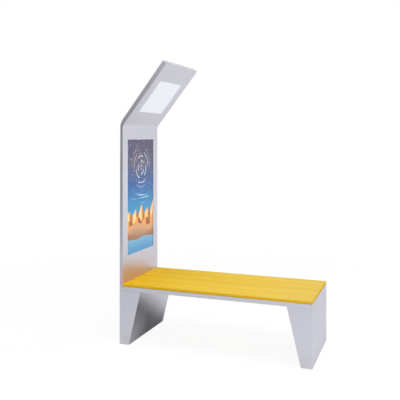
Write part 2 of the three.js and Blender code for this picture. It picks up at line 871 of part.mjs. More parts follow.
function placeTower() {
  const side_outline = [
    ...rounded(back_path, bend_outer_radius),
    ...rounded(face_path, bend_inner_radius).reverse(),
  ];
  place("tower_side_front", acrossBench(side_outline, [-half_depth, -side_inner]), silver_paint);
  place("tower_side_back", acrossBench(side_outline, [side_inner, half_depth]), silver_paint);

  const width = [-skin_half_width, skin_half_width];
  const tip_distance = skin + joint_gap;
  const poster_window = block(
    [tower_depth - skin - overrun, tower_depth + overrun],
    [-poster_width / 2, poster_width / 2],
    [poster_middle_height - poster_height / 2, poster_middle_height + poster_height / 2],
  );
  const lamp_window = block(
    [lamp_start, lamp_start + lamp_length],
    [-lamp_width / 2, lamp_width / 2],
    [-overrun, skin + overrun],
  ).applyMatrix4(under_frame.matrix);
  const face = acrossBench(band(facePathTo(tip_distance), bend_inner_radius, -skin, 0), width);
  place("tower_face", cut(face, poster_window, lamp_window), silver_paint);

  // The back sheet folds down over the tip of the canopy.
  const back = acrossBench(band(backPathTo(skin / 2), bend_outer_radius, 0, skin), width);
  const tip_outline = [
    inner_tip,
    outer_tip,
    along(outer_tip, top_way, -skin),
    along(inner_tip, under_way, -skin),
  ];
  const rim = doorwayRim(poster_door).applyMatrix4(back_frame.matrix);
  const opening = doorway(poster_door, 0, [-overrun, door_flange + overrun]).applyMatrix4(back_frame.matrix);
  const solar_hole = solarPrism(-joint_gap, [-skin - overrun, overrun]).applyMatrix4(top_frame.matrix);
  const folded = join(back, acrossBench(tip_outline, width), rim);
  place("tower_back", cut(folded, opening, solar_hole), silver_paint);
}

// A bent tube from the base plate to the tip, against the back of the tower's face.
function post([from, to]) {
  const path = facePathTo(skin + post_tip_distance);
  path[0] = [tower_depth, base_plate_thickness + joint_gap];
  const near = -skin - joint_gap;
  const far = -post_back;
  const longer = facePathTo(skin + post_tip_distance - overrun);
  longer[0] = [tower_depth, base_plate_thickness + joint_gap - overrun];
  const outside = acrossBench(band(path, bend_inner_radius, far, near), [from, to]);
  const hollow = band(longer, bend_inner_radius, far + post_wall, near - post_wall);
  return cut(outside, acrossBench(hollow, [from + post_wall, to - post_wall]));
}

const strip_y = () => glass_half_width - strip_width / 2;
const strip_x = () => tower_depth - behind_face - guide_behind - light_guide_thickness / 2;

// Upright holes for the poster light's two cables.
function lightCableHoles(heights) {
  const radius = light_cable_radius + cable_hole_gap;
  return [-strip_y(), strip_y()].map((y) => barUp(radius, heights, strip_x(), y, hinge_sides));
}

// A bar between the posts that the light box stands on, with a passage for the cables.
function crossBar(low) {
  const face = tower_depth - behind_face;
  const half = post_inner - joint_gap;
  const bar = block([face - bar_depth, face], [-half, half], [low, low + bar_height]);
  const beyond = [low - overrun, low + bar_height + overrun];
  const passage = block(
    [face - bar_depth - overrun, face - bar_notch_wall],
    [light_box_half_width + joint_gap, light_box_half_width + joint_gap + bar_notch_width],
    beyond,
  );
  return cut(bar, passage, ...lightCableHoles(beyond));
}

const behind_face = skin + joint_gap;
const glass_half_width = poster_width / 2 + poster_lap;
const glass_half_height = poster_height / 2 + poster_lap;
const light_box_half_width = glass_half_width + joint_gap + light_box_rim;
const print_behind = glass_thickness + joint_gap;
const guide_behind = print_behind + print_thickness + joint_gap;
const box_back_behind = guide_behind + light_guide_thickness + joint_gap;
const bar_low = poster_middle_height - poster_frame_half - joint_gap - bar_height;

function placeMast() {
  place("mast_post_front", post([-post_outer, -post_inner]), galvanised);
  place("mast_post_back", post([post_inner, post_outer]), galvanised);
  place("mast_bar", crossBar(bar_low), galvanised);
}

// A sheet of the lit poster's stack, by its distance behind the back of the tower's face.
function stackSheet(behind, thickness, half_width, half_height) {
  const front = tower_depth - behind_face - behind;
  return block(
    [front - thickness, front],
    [-half_width, half_width],
    [poster_middle_height - half_height, poster_middle_height + half_height],
  );
}

function lightBoxFrame() {
  const outside = stackSheet(0, light_box_depth, light_box_half_width, poster_frame_half);
  const inside = stackSheet(
    -overrun,
    light_box_depth + 2 * overrun,
    glass_half_width + joint_gap,
    glass_half_height + joint_gap,
  );
  const foot = poster_middle_height - poster_frame_half;
  return cut(outside, inside, ...lightCableHoles([foot - overrun, foot + light_box_rim + overrun]));
}

function ledStrip(side) {
  const front = tower_depth - behind_face - guide_behind;
  const y = side * strip_y();
  return block(
    [front - light_guide_thickness, front],
    [y - strip_width / 2, y + strip_width / 2],
    [poster_middle_height - glass_half_height, poster_middle_height + glass_half_height],
  );
}

function placeLightBox() {
  const [half_width, half_height] = [glass_half_width, glass_half_height];
  const guide_half = half_width - strip_width - joint_gap;
  place("light_box_frame", lightBoxFrame(), aluminium);
  place("poster_glass", stackSheet(0, glass_thickness, half_width, half_height), clear_glass);
  place("poster_print", stackSheet(print_behind, print_thickness, half_width, half_height), printed_film);
  const guide = stackSheet(guide_behind, light_guide_thickness, guide_half, half_height);
  place("light_guide", guide, clear_acrylic);
  place("led_strip_front", ledStrip(-1), white_board);
  place("led_strip_back", ledStrip(1), white_board);
  const box_back = stackSheet(box_back_behind, box_back_thickness, half_width, half_height);
  place("light_box_back", box_back, white_film);
}

function placeDoors() {
  place("poster_door", doorPan(poster_door), silver_paint, back_frame);
  placeHinge("poster_door", poster_door);
  placeLocks(["poster_door_lower", "poster_door_upper"], poster_door);
  place("battery_door", doorPan(battery_door), silver_paint);
  placeHinge("battery_door", battery_door);
  placeLocks(["battery_door"], battery_door);
}

// Lamp, set in the frame of the canopy's underside, whose z runs into the canopy.

const lamp_half_width = lamp_width / 2 + lamp_lap;
const lamp_low = lamp_start - lamp_lap;
const lamp_high = lamp_start + lamp_length + lamp_lap;
const lamp_housing_half = lamp_half_width + joint_gap + lamp_housing_wall;

function lampHousing() {
  const outer_half = lamp_housing_half;
  const run = [lamp_low - joint_gap - lamp_housing_wall, lamp_high + joint_gap + lamp_housing_wall];
  const outside = block(run, [-outer_half, outer_half], [behind_face, behind_face + lamp_housing_depth]);
  const inner_half = lamp_half_width + joint_gap;
  const hollow = block(
    [lamp_low - joint_gap, lamp_high + joint_gap],
    [-inner_half, inner_half],
    [behind_face - overrun, behind_face + lamp_housing_depth - lamp_housing_wall],
  );
  return cut(outside, hollow);
}

function placeLamp() {
  place("lamp_housing", lampHousing(), aluminium, under_frame);
  const width = [-lamp_half_width, lamp_half_width];
  const diffuser = block([lamp_low, lamp_high], width, [behind_face, behind_face + lamp_diffuser_thickness]);
  place("lamp_diffuser", diffuser, opal_acrylic, under_frame);
  const board_top = behind_face + lamp_housing_depth - lamp_housing_wall - joint_gap;
  const board = block(
    [lamp_low + lamp_board_inset, lamp_high - lamp_board_inset],
    [-lamp_half_width + lamp_board_inset, lamp_half_width - lamp_board_inset],
    [board_top - lamp_board_thickness, board_top],
  );
  place("lamp_led_board", board, white_board, under_frame);
}

// Solar module, set in the frame of the canopy's top, whose z runs out of it.

const canopy_top_length = Math.hypot(outer_tip[0] - outer_corner[0], outer_tip[1] - outer_corner[1]);
const solar_start = solar_end_margin;
const solar_end = canopy_top_length - solar_end_margin;
const solar_half_width = half_depth - solar_side_margin;
const laminate_top = joint_gap + solar_rim_thickness - laminate_drop;
const laminate_bottom = laminate_top - laminate_thickness;
const laminate_inset = solar_frame_width + joint_gap;
const junction_box_start = solar_end - junction_box_distance - junction_box_length;

// A prism concentric with the module, drawn in by a distance.
function solarPrism(inset, heights) {
  const half = solar_half_width - inset;
  return block([solar_start + inset, solar_end - inset], [-half, half], heights);
}

// The frame drops through the canopy's top and its rim lies on the sheet round the hole.
function solarFrame() {
  const rim_top = joint_gap + solar_rim_thickness;
  return cut(
    join(
      solarPrism(0, [-solar_frame_depth, rim_top - solar_rim_thickness / 2]),
      solarPrism(-solar_lap, [joint_gap, rim_top]),
    ),
    solarPrism(solar_frame_width, [laminate_bottom - joint_gap, rim_top + overrun]),
    solarPrism(solar_frame_width + solar_ledge, [-solar_frame_depth - overrun, rim_top + overrun]),
  );
}

function placeSolar() {
  place("solar_frame", solarFrame(), aluminium, top_frame);
  const laminate = solarPrism(laminate_inset, [laminate_bottom, laminate_top]);
  place("solar_laminate", laminate, solar_glass, top_frame);
  const box_top = laminate_bottom - joint_gap;
  const junction = block(
    [junction_box_start, junction_box_start + junction_box_length],
    [junction_box_side, junction_box_side + junction_box_width],
    [box_top - junction_box_height, box_top],
  );
  place("solar_junction_box", junction, black_plastic, top_frame);
}

// Battery bay

const tray_floor = base_plate_thickness + joint_gap;
const battery_low = tray_floor + tray_wall + joint_gap;
const battery_start = tray_start + tray_wall + joint_gap;
const battery_end = battery_start + battery_width;
const battery_back = battery_front + battery_length;
const battery_top = battery_low + battery_height;
const battery_middle = (battery_start + battery_end) / 2;
const terminal_top = battery_top + battery_terminal_height;
const near_terminal = battery_back - battery_terminal_inset;
const terminal_places = [near_terminal, near_terminal - battery_terminal_spacing];

function batteryTray() {
  const [low, high] = [tray_start, battery_end + joint_gap + tray_wall];
  const outside = block([low, high], [battery_front, battery_back], [tray_floor, tray_floor + tray_lip]);
  const hollow = block(
    [low + tray_wall, high - tray_wall],
    [battery_front - overrun, battery_back + overrun],
    [tray_floor + tray_wall, tray_floor + tray_lip + overrun],
  );
  return cut(outside, hollow);
}

function battery() {
  const span = [battery_top - overrun, terminal_top];
  return join(
    block([battery_start, battery_end], [battery_front, battery_back], [battery_low, battery_top]),
    ...terminal_places.map((y) => barUp(battery_terminal_radius, span, battery_middle, y, terminal_sides)),
  );
}

// A band over the battery, down to the tray's lips.
function batteryStrap() {
  const middle = (battery_front + battery_back) / 2;
  const [low, high] = [tray_floor + tray_lip + joint_gap, battery_top + joint_gap];
  const [left, right] = [battery_start - joint_gap, battery_end + joint_gap];
  const outline = [
    [left - strap_thickness, low],
    [left - strap_thickness, high + strap_thickness],
    [right + strap_thickness, high + strap_thickness],
    [right + strap_thickness, low],
    [right, low],
    [right, high],
    [left, high],
    [left, low],
  ];
  return acrossBench(outline, [middle - strap_width / 2, middle + strap_width / 2]);
}

function equipmentPlate() {
  const top = leg_ceiling - joint_gap;
  const low = seat_height - equipment_plate_drop;
  const [near, far] = [equipment_plate_distance, equipment_plate_distance + equipment_plate_sheet];
  const outline = [
    [near, low],
    [far, low],
    [far, top - equipment_plate_sheet],
    [near + equipment_plate_flange, top - equipment_plate_sheet],
    [near + equipment_plate_flange, top],
    [near, top],
  ];
  const width = [equipment_plate_front_margin - half_depth, half_depth - equipment_plate_back_margin];
  return acrossBench(outline, width);
}

const equipment_face = equipment_plate_distance - joint_gap;

function chargeController() {
  const back = controller_front + controller_width;
  const front_face = equipment_face - controller_depth;
  const outside = block(
    [front_face, equipment_face],
    [controller_front, back],
    [controller_low, controller_low + controller_height],
  );
  // Upright cooling fins, cut into the face that looks at the door.
  const pitch = controller_width / controller_fin_count;
  const metal = pitch * controller_fin_share;
  const grooves = Array.from({ length: controller_fin_count - 1 }, (_, i) => {
    const start = controller_front + metal + pitch * i + (pitch - metal) / 2;
    return block(
      [front_face - overrun, front_face + controller_fin_depth],
      [start, start + pitch - metal],
      [controller_low - overrun, controller_low + controller_height + overrun],
    );
  });
  return cut(outside, ...grooves);
}

function placeBatteryBay() {
  place("battery_tray", batteryTray(), galvanised);
  place("battery", battery(), blue_wrap);
  place("battery_strap", batteryStrap(), webbing);
  place("equipment_plate", equipmentPlate(), galvanised);
  place("charge_controller", chargeController(), black_plastic);
}

function placeOutlet() {
  place("usb_outlet", usbOutlet(), black_plastic);
  place("usb_flap", usbFlap(), black_plastic);
}

// Cables

const lane = (i) => light_box_half_width + cable_side_gap + cable_radius + cable_lane_pitch * i;
const channel_x = tower_depth - cable_channel_height;
const [bend_x, bend_z] = shifted(face_path, -cable_channel_height)[1];
const controller_x = equipment_face - controller_depth / 2;
const controller_side = controller_front + controller_width + joint_gap;
const entryHeight = (i) => controller_low + controller_height - cable_entry_pitch * (i + 1);
const underPoint = (x, y, z) => at(x, y, z).applyMatrix4(under_frame.matrix);
const topPoint = (x, y, z) => at(x, y, z).applyMatrix4(top_frame.matrix);

// From a lane beside the light box down the tower and into the controller's side.
function wayDown(y, entry) {
  const z = entryHeight(entry);
  return [at(channel_x, y, z), at(controller_x, y, z), at(controller_x, controller_side, z)];
}

function solarCable() {
  const y = lane(0);
  const x = junction_box_start + junction_box_length / 2;
  const z = -solar_frame_depth - cable_radius - 2 * joint_gap;
  const box_side = junction_box_side + junction_box_width + joint_gap;
  const start = [topPoint(x, box_side, z), topPoint(x, y, z)];
  return cable(cable_radius, [...start, at(bend_x, y, bend_z), ...wayDown(y, 0)]);
}

function lampCable() {
  const y = lane(1);
  const x = (lamp_low + lamp_high) / 2;
  const start = [lamp_housing_half + joint_gap, y].map((side) => underPoint(x, side, cable_channel_height));
  return cable(cable_radius, [...start, at(bend_x, y, bend_z), ...wayDown(y, 1)]);
}

// One lead from each LED strip; the front one crosses under the bar and joins the other.
function posterLightCable() {
  const x = strip_x();
  const top = poster_middle_height - glass_half_height - joint_gap;
  const crossing_z = bar_low - joint_gap - cable_corner_reach;
  const z = entryHeight(2);
  const main = cable(light_cable_radius, [
    at(x, strip_y(), top),
    at(x, strip_y(), z),
    at(controller_x, strip_y(), z),
    at(controller_x, controller_side, z),
  ]);
  const branch = cable(light_cable_radius, [
    at(x, -strip_y(), top),
    at(x, -strip_y(), crossing_z),
    at(x, strip_y() - light_cable_radius / 2, crossing_z),
  ]);
  return join(main, branch);
}

// A two-core lead whose cores part above the battery.
function batteryLead() {
  const y = (terminal_places[0] + terminal_places[1]) / 2;
  const corner_z = controller_low - lead_drop;
  const parting_z = terminal_top + joint_gap + 2 * lead_tail_rise;
  const parting = at(battery_middle + lead_tail_rise / 2, y, parting_z);
  const main = cable(lead_radius, [
    at(controller_x, y, controller_low - joint_gap),
    at(controller_x, y, corner_z),
    parting,
  ]);
  const tails = terminal_places.map((spot) =>
    cable(cable_radius, [
      parting.clone().lerp(at(controller_x, y, corner_z), joint_gap),
      at(battery_middle, spot, terminal_top + lead_tail_rise),
      at(battery_middle, spot, terminal_top + joint_gap),
    ]),
  );
  return join(main, ...tails);
}

function usbCable() {
  const z = entryHeight(3);
  const corner_y = outlet_back - usb_cable_distance;
  return cable(cable_radius, [
    at(controller_x, controller_side, z),
    at(controller_x, corner_y, z),
    at(outlet_distance, corner_y, outlet_height),
    at(outlet_distance, outlet_back - joint_gap, outlet_height),
  ]);
}

function placeCables() {
  place("solar_cable", solarCable(), cable_jacket);
  place("lamp_cable", lampCable(), cable_jacket);
  place("poster_light_cable", posterLightCable(), cable_jacket);
  place("battery_lead", batteryLead(), cable_jacket);
  place("usb_cable", usbCable(), cable_jacket);
}

placeLegs();
placeSeat();
placeTower();
placeMast();
placeLightBox();
placeDoors();
placeLamp();
placeSolar();
placeBatteryBay();
placeOutlet();
placeCables();

export default bench;
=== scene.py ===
"""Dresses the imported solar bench: painted sheet steel, yellow planks, a lit poster, a lamp,
solar cells and the small fasteners, on a plain pale stage."""

import json
import math

import bmesh
import bpy
from mathutils import Matrix, Vector


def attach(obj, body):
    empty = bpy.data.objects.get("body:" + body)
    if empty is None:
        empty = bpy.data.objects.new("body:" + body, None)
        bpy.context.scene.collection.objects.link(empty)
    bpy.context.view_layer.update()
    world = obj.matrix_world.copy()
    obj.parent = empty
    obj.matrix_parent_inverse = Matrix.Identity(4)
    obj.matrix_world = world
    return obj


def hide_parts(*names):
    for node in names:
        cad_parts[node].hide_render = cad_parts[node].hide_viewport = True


bl_info = {
    "name": "Solar charging bench",
    "version": (1, 0, 0),
    "blender": (4, 5, 0),
    "location": "3D View > Sidebar > Bench",
    "description": "Finishes, fasteners, solar cells and stage for the solar charging bench",
    "category": "Object",
}

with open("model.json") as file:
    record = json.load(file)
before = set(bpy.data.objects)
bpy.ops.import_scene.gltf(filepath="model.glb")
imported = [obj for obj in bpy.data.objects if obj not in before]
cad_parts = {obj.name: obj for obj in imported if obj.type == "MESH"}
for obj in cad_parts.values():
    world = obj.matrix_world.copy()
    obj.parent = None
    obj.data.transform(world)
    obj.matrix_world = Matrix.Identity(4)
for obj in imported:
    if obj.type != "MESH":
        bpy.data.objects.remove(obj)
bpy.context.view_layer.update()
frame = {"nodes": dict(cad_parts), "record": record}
NODES = frame["nodes"]
SLOTS = {part["node"]: part["material_slot"] for part in frame["record"]["subparts"]}
BODIES = {
    node: body
    for body, nodes in frame["record"]["behaviour"]["bodies"].items()
    for node in nodes
}


# Settings


def colour(name, description, default):
    return bpy.props.FloatVectorProperty(
        name=name, description=description, subtype="COLOR", size=3, min=0, max=1, default=default
    )


def length(name, description, default):
    return bpy.props.FloatProperty(
        name=name, description=description, default=default, min=0, unit="LENGTH", precision=4
    )


def share(name, description, default):
    return bpy.props.FloatProperty(
        name=name, description=description, default=default, min=0, max=1, subtype="FACTOR"
    )


class BenchFinishes(bpy.types.PropertyGroup):
    paint: colour("Paint", "Satin silver paint of the sheet steel", (0.624, 0.626, 0.697))
    # Painted reflection: the planks' yellow as a warm tint on the tower's foot.
    seat_reflection: colour("Seat reflection", "Painted reflection of the yellow planks on the tower's foot", (0.66, 0.50, 0.52))
    plank: colour("Planks", "Yellow stain of the seat planks", (0.91, 0.580, 0.013))
    plank_grain: colour("Plank grain", "Darker lines of the wood's grain", (0.60, 0.33, 0.006))
    # Painted shade on the planks near the tower.
    plank_painted_shade: colour("Plank shade", "Painted shade on the planks beside the tower", (0.80, 0.465, 0.003))
    # Painted shade in the gaps between planks.
    plank_gap_shade: colour("Plank gap shade", "Painted shade on the planks' sides in the gaps between them", (0.30, 0.155, 0.012))
    # Painted light: a brighter yellow on the planks' sides and undersides.
    plank_side_light: colour("Plank sides", "Painted light: brighter yellow on the faces of the planks that don't look up", (1.0, 0.60, 0.020))
    # Paler yellow, used for the painted sheen and for the worn streaks.
    plank_sheen_and_wear: colour("Plank sheen and wear", "Paler yellow of the painted sheen and the worn streaks", (0.72, 0.53, 0.14))
    sky_high: colour("Poster top", "Sky at the poster's top", (0.060, 0.052, 0.110))
    sky_middle: colour("Poster middle", "Sky in the poster's middle", (0.004, 0.068, 0.240))
    sky_low: colour("Poster sky edge", "Sky above the rocks", (0.014, 0.215, 0.41))
    rock: colour("Rock", "Sunlit side of the nearer rocks", (0.62, 0.25, 0.045))
    dune: colour("Dunes", "Hollows of the dunes", (0.28, 0.15, 0.10))
    lit_rock: colour("Lit rock", "Sunlit side of the furthest rocks", (0.80, 0.46, 0.16))
    lamp: colour("Lamp", "Light of the lamp under the canopy", (0.87, 0.89, 0.98))
    cell: colour("Solar cell", "Blue-black of the solar cells", (0.010, 0.016, 0.045))
    poster_glow: share("Poster glow", "Strength of the light behind the poster", 0.22)
    dust: share("Dust", "How much dust lies on the painted steel near the ground", 0.25)
    # Dust and painted shade on faces that look up.
    tops_dust_and_shade: share("Dust and shade on tops", "How much faces that look up darken, with dust and painted shade", 0.45)
    # Painted shade under the seat, on faces that look down.
    under_seat_shade: share("Under-seat shade", "Painted shade on faces under the seat", 1.0)
    wear: share("Edge wear", "How far the edges are rubbed", 0.35)


class BenchSizes(bpy.types.PropertyGroup):
    sheet_edge: length("Sheet edge", "Radius of folded and cut edges of the sheet steel", 0.0006)
    plank_edge: length("Plank end edge", "Radius of the planks' sawn ends", 0.0012)
    screw_pitch: length("Screw pitch", "Distance between screws along the back sheet", 0.165)
    cell_length: length("Cell length", "Side of a solar cell across the module", 0.1165)
    cell_width: length("Cell width", "Side of a solar cell up the module", 0.0505)
    cell_gap: length("Cell gap", "Gap between solar cells", 0.0028)


class BenchStage(bpy.types.PropertyGroup):
    floor: colour("Floor", "Pale floor", (0.66, 0.66, 0.67))
    floor_size: length("Floor size", "Side of the floor", 80.0)
    lens: bpy.props.FloatProperty(
        name="Lens", description="Focal length of the camera", default=53.84, min=1, unit="CAMERA"
    )
    eye: bpy.props.FloatVectorProperty(
        name="Camera", description="Place of the camera", size=3, subtype="TRANSLATION",
        unit="LENGTH", default=(1.4633, -4.4849, 1.6043),
    )
    heading: bpy.props.FloatProperty(
        name="Heading", description="Turn of the level camera to the left", subtype="ANGLE",
        default=math.radians(20.36),
    )
    shift: bpy.props.FloatProperty(
        name="Shift", description="Vertical shift of the level camera", default=-0.1543
    )


# Places

JOINT_GAP = 0.0003
BENCH_HALF = 0.75
HALF_DEPTH = 0.325
SEAT_HEIGHT = 0.470
PLANK_COUNT = 4
PLANK_THICKNESS = 0.020
PLANK_GAP = 0.005
PLANK_WIDTH = (2 * HALF_DEPTH - (PLANK_COUNT - 1) * PLANK_GAP) / PLANK_COUNT
RAIL_HEIGHT = 0.030
RAIL_TOP = SEAT_HEIGHT - PLANK_THICKNESS - JOINT_GAP
LEG_HEIGHT = RAIL_TOP - RAIL_HEIGHT - JOINT_GAP
LEG_SHEET = 0.0025
INNER_SHEET = 0.002
BEARER_PLACES = (0.1283, 0.73915, 1.350)
BEARER_WEB = RAIL_TOP - INNER_SHEET
BASE_PLATE = 0.006
ANCHOR_COLUMNS = (0.040, 1.460)
ANCHOR_ROWS = (0.220, 0.280)

TOWER_DEPTH = 0.028
TOWER_LEAN = 0.006
BEND_HEIGHT = 1.703
CANOPY_ANGLE = math.radians(51.7)
CANOPY_LENGTH = 0.603
CANOPY_ROOT = 0.031
CANOPY_TIP = 0.038
POST_MIDDLE = 0.3075

# Button screws: the head's radius and height, and the length of the shank.
PLANK_SCREW = (0.0048, 0.0026, 0.001)
SHEET_SCREW = (0.0046, 0.0022, 0.001)
BOX_SCREW = (0.0038, 0.0018, 0.001)
RIM_SCREW = (0.0030, 0.0013, 0.0006)
OUTLET_SCREW = (0.0024, 0.0007, 0.0008)
TOWER_SCREW_REACH = (0.045, 1.190)  # along the leaning back sheet, from the seat's height up
CANOPY_SCREW_REACH = (0.035, 0.565)  # along the canopy's top, from the bend

POSTER_MIDDLE = 1.135
POSTER_HEIGHT = 0.918
POSTER_LOW = POSTER_MIDDLE - POSTER_HEIGHT / 2
LIGHT_BOX_BACK = 0.0135
BOX_SCREW_SIDE = 0.2563
BOX_SCREW_PITCH = 0.2376
EQUIPMENT_FLANGE = LEG_HEIGHT - LEG_SHEET - JOINT_GAP - INNER_SHEET
PLATE_SCREW_PLACES = ((0.115, -0.21), (0.115, -0.03), (0.115, 0.15))

BATTERY_LID = 0.138
BATTERY_TOP = 0.1586
BATTERY_MIDDLE = 0.0403
TERMINAL_HEIGHT = 0.005
TERMINALS = {"plus": (0.050, "red_rubber"), "minus": (-0.010, "black_plastic")}

OUTLET_X = 0.095
OUTLET_Z = SEAT_HEIGHT - 0.120
OUTLET_FACE = 0.3283
OUTLET_SCREW_SIDE = 0.0235
OUTLET_SCREW_RISE = 0.0165
PORT_RISE = 0.0055  # from the outlet's middle to the middle of each port

MODULE_MIDDLE = (0.2997, 0)
MODULE_HALF = (0.2577, 0.258)
MODULE_LAP = 0.007
RIM_TOP = 0.0020
LAMINATE_TOP = 0.0014
CELL_THICKNESS = 0.0002
CELL_CLIP = 0.004  # what each corner of a cell loses
CELL_ROWS = 9
CELL_COLUMNS = 4


def turned(x, z, angle):
    """A frame at x and z from the tower's outer face, with its x axis up a slope."""
    return Matrix.Translation((x - BENCH_HALF, 0, z)) @ Matrix.Rotation(-angle, 4, "Y")


def canopy_top():
    """Where the leaning outer face meets the canopy's top, and the top's angle."""
    way = Vector((math.cos(CANOPY_ANGLE), math.sin(CANOPY_ANGLE)))
    out = Vector((-way.y, way.x))
    corner = Vector((TOWER_DEPTH, BEND_HEIGHT))
    root = corner + out * CANOPY_ROOT
    top_way = (corner + way * CANOPY_LENGTH + out * CANOPY_TIP - root).normalized()
    lean_way = Vector((TOWER_LEAN, BEND_HEIGHT - SEAT_HEIGHT)).normalized()
    foot = Vector((0, SEAT_HEIGHT))
    reach_up = (root - foot).cross(top_way) / lean_way.cross(top_way)
    return foot + lean_way * reach_up, math.atan2(top_way.y, top_way.x)


OUTER_CORNER, TOP_ANGLE = canopy_top()
TOP = turned(OUTER_CORNER.x, OUTER_CORNER.y, TOP_ANGLE)
MODULE = TOP @ Matrix.Translation((*MODULE_MIDDLE, 0))
LEAN_ANGLE = math.atan2(TOWER_LEAN, BEND_HEIGHT - SEAT_HEIGHT)
LEAN = turned(0, SEAT_HEIGHT, -LEAN_ANGLE)
BENCH = turned(0, 0, 0)


# Node trees


class Wire:
    """A node's output, for writing formulas with."""

    def __init__(self, socket):
        self.socket = socket
        self.tree = socket.id_data

    def __add__(self, other):
        return maths("ADD", self, other)

    def __sub__(self, other):
        return maths("SUBTRACT", self, other)

    def __rsub__(self, other):
        return maths("SUBTRACT", other, self)

    def __mul__(self, other):
        return maths("MULTIPLY", self, other)

    def __truediv__(self, other):
        return maths("DIVIDE", self, other)

    def __abs__(self):
        return maths("ABSOLUTE", self)


def wires(node):
    """A node's outputs by name."""
    return {socket.name: Wire(socket) for socket in node.outputs if socket.name}


def plug(value, socket):
    """Links a wire to an input, or gives the input its own value."""
    if isinstance(value, Wire):
        socket.id_data.links.new(value.socket, socket)
    elif socket.type == "RGBA":
        socket.default_value = (*value, 1)
    else:
        socket.default_value = value


def add(tree, kind, inputs=None, output=0, **settings):
    """One output of a new node with these settings and inputs, each given by name or number."""
    made = tree.nodes.new(kind)
    for name, value in settings.items():
        setattr(made, name, value)
    for name, value in (inputs or {}).items():
        plug(value, made.inputs[name])
    return Wire(made.outputs[output])


def maths(operation, *values, clamp=False):
    tree = next(value.tree for value in values if isinstance(value, Wire))
    return add(tree, "ShaderNodeMath", dict(enumerate(values)), operation=operation, use_clamp=clamp)


def reach(across, above):
    """How far a point at two measures lies from where both are nought."""
    return maths("SQRT", across * across + above * above)


def mixed(amount, first, second):
    """Two colours mixed."""
    return add(amount.tree, "ShaderNodeMix", {0: amount, 6: first, 7: second}, 2, data_type="RGBA")


def scaled(tone, factor):
    """A colour times a number."""
    return add(factor.tree, "ShaderNodeVectorMath", {0: tone, "Scale": factor}, operation="SCALE")


def ramp(value, stops):
    """A colour ramp: a list of places and colours."""
    made = add(value.tree, "ShaderNodeValToRGB", {"Fac": value})
    line = made.socket.node.color_ramp
    while len(line.elements) < len(stops):
        line.elements.new(0.5)
    for element, (place, tone) in zip(line.elements, stops):
        element.position = place
        element.color = (*tone, 1)
    return made


def spread(value, low, high, to_low=0.0, to_high=1.0, smooth=False):
    """A value between low and high as one between to_low and to_high, and held to those."""
    return add(
        value.tree, "ShaderNodeMapRange",
        {"Value": value, "From Min": low, "From Max": high, "To Min": to_low, "To Max": to_high},
        interpolation_type="SMOOTHSTEP" if smooth else "LINEAR", clamp=True,
    )


def noise(vector, scale, detail=2.0, roughness=0.5):
    inputs = {"Vector": vector, "Scale": scale, "Detail": detail, "Roughness": roughness}
    return add(vector.tree, "ShaderNodeTexNoise", inputs, "Fac")


def chance(number):
    """A random value for each whole number."""
    return add(number.tree, "ShaderNodeTexWhiteNoise", {"W": number}, "Value", noise_dimensions="1D")


def crystals(vector, scale, output):
    inputs = {"Vector": vector, "Scale": scale}
    return add(vector.tree, "ShaderNodeTexVoronoi", inputs, output, feature="F1")


def bands(vector, direction, **inputs):
    """Waves in straight bands along a direction."""
    return add(
        vector.tree, "ShaderNodeTexWave", {"Vector": vector, **inputs}, "Fac",
        wave_type="BANDS", bands_direction=direction,
    )


def bump(height, strength, distance):
    inputs = {"Height": height, "Strength": strength, "Distance": distance}
    return add(height.tree, "ShaderNodeBump", inputs, "Normal")


def place_of(tree):
    return add(tree, "ShaderNodeTexCoord", output="Object")


def drawn_out(vector, scale):
    """A place scaled along each axis, so that a pattern on it is drawn out."""
    return add(vector.tree, "ShaderNodeMapping", {"Vector": vector, "Scale": scale})


def parts(vector):
    """The x, y and z of a vector."""
    split = add(vector.tree, "ShaderNodeSeparateXYZ", {"Vector": vector})
    return list(wires(split.socket.node).values())


def facing(tree):
    """The x, y and z of the direction that the surface faces."""
    return parts(add(tree, "ShaderNodeTexCoord", output="Normal"))


def mark(tree, name):
    """A number that the mesh carries under this name."""
    return add(tree, "ShaderNodeAttribute", output="Fac", attribute_name=name)


def arrange(tree):
    """Sets the nodes out in columns, by how many links lie between each and the output."""
    depth = {n: 0 for n in tree.nodes}
    for _ in range(len(tree.nodes)):
        for link in tree.links:
            depth[link.from_node] = max(depth[link.from_node], depth[link.to_node] + 1)
    rows = {}
    for n in tree.nodes:
        row = rows.get(depth[n], 0)
        n.location = (-260 * depth[n], -220 * row)
        rows[depth[n]] = row + 1


# Effects that materials share


def powder_coat(given, spot):
    """Sprayed paint: slow drifts of tone and a fine pebbled skin."""
    lift = (noise(spot, 2.3, 3) - 0.5) * given["Drift"] + 1.0
    pebble = noise(spot, given["Pebble Scale"], 1)
    return {
        "Color": scaled(given["Color"], lift),
        "Roughness": (noise(spot, 14, 2) - 0.5) * 0.06 + given["Roughness"],
        "Normal": bump(pebble, given["Pebble Depth"], 0.0004),
    }


def edge_rub(given, spot):
    """Rubbed edges: lighter and smoother where hands and bags pass, broken up by noise."""
    patch = spread(noise(spot, 22, 4, 0.6), 0.42, 0.66)
    mask = mark(spot.tree, "edge") * patch * given["Amount"]
    return {
        "Color": mixed(mask, given["Color"], given["Rubbed Color"]),
        "Roughness": mask * -0.04 + given["Roughness"],
    }


def ground_dust(given, spot):
    """Street dust that thins out with height, and lies where rain splashes."""
    near = spread(parts(spot)[2] / given["Height"], 0.0, 1.0, 1.0, 0.0, smooth=True)
    cloud = spread(noise(spot, 9, 5, 0.65), 0.3, 0.75)
    speck = spread(noise(spot, 160, 2), 0.55, 0.75)
    mask = maths("MULTIPLY", near * (speck * 0.35 + cloud), given["Amount"], clamp=True)
    return {
        "Color": mixed(mask, given["Color"], given["Dust Color"]),
        "Roughness": mask * 0.35 + given["Roughness"],
    }


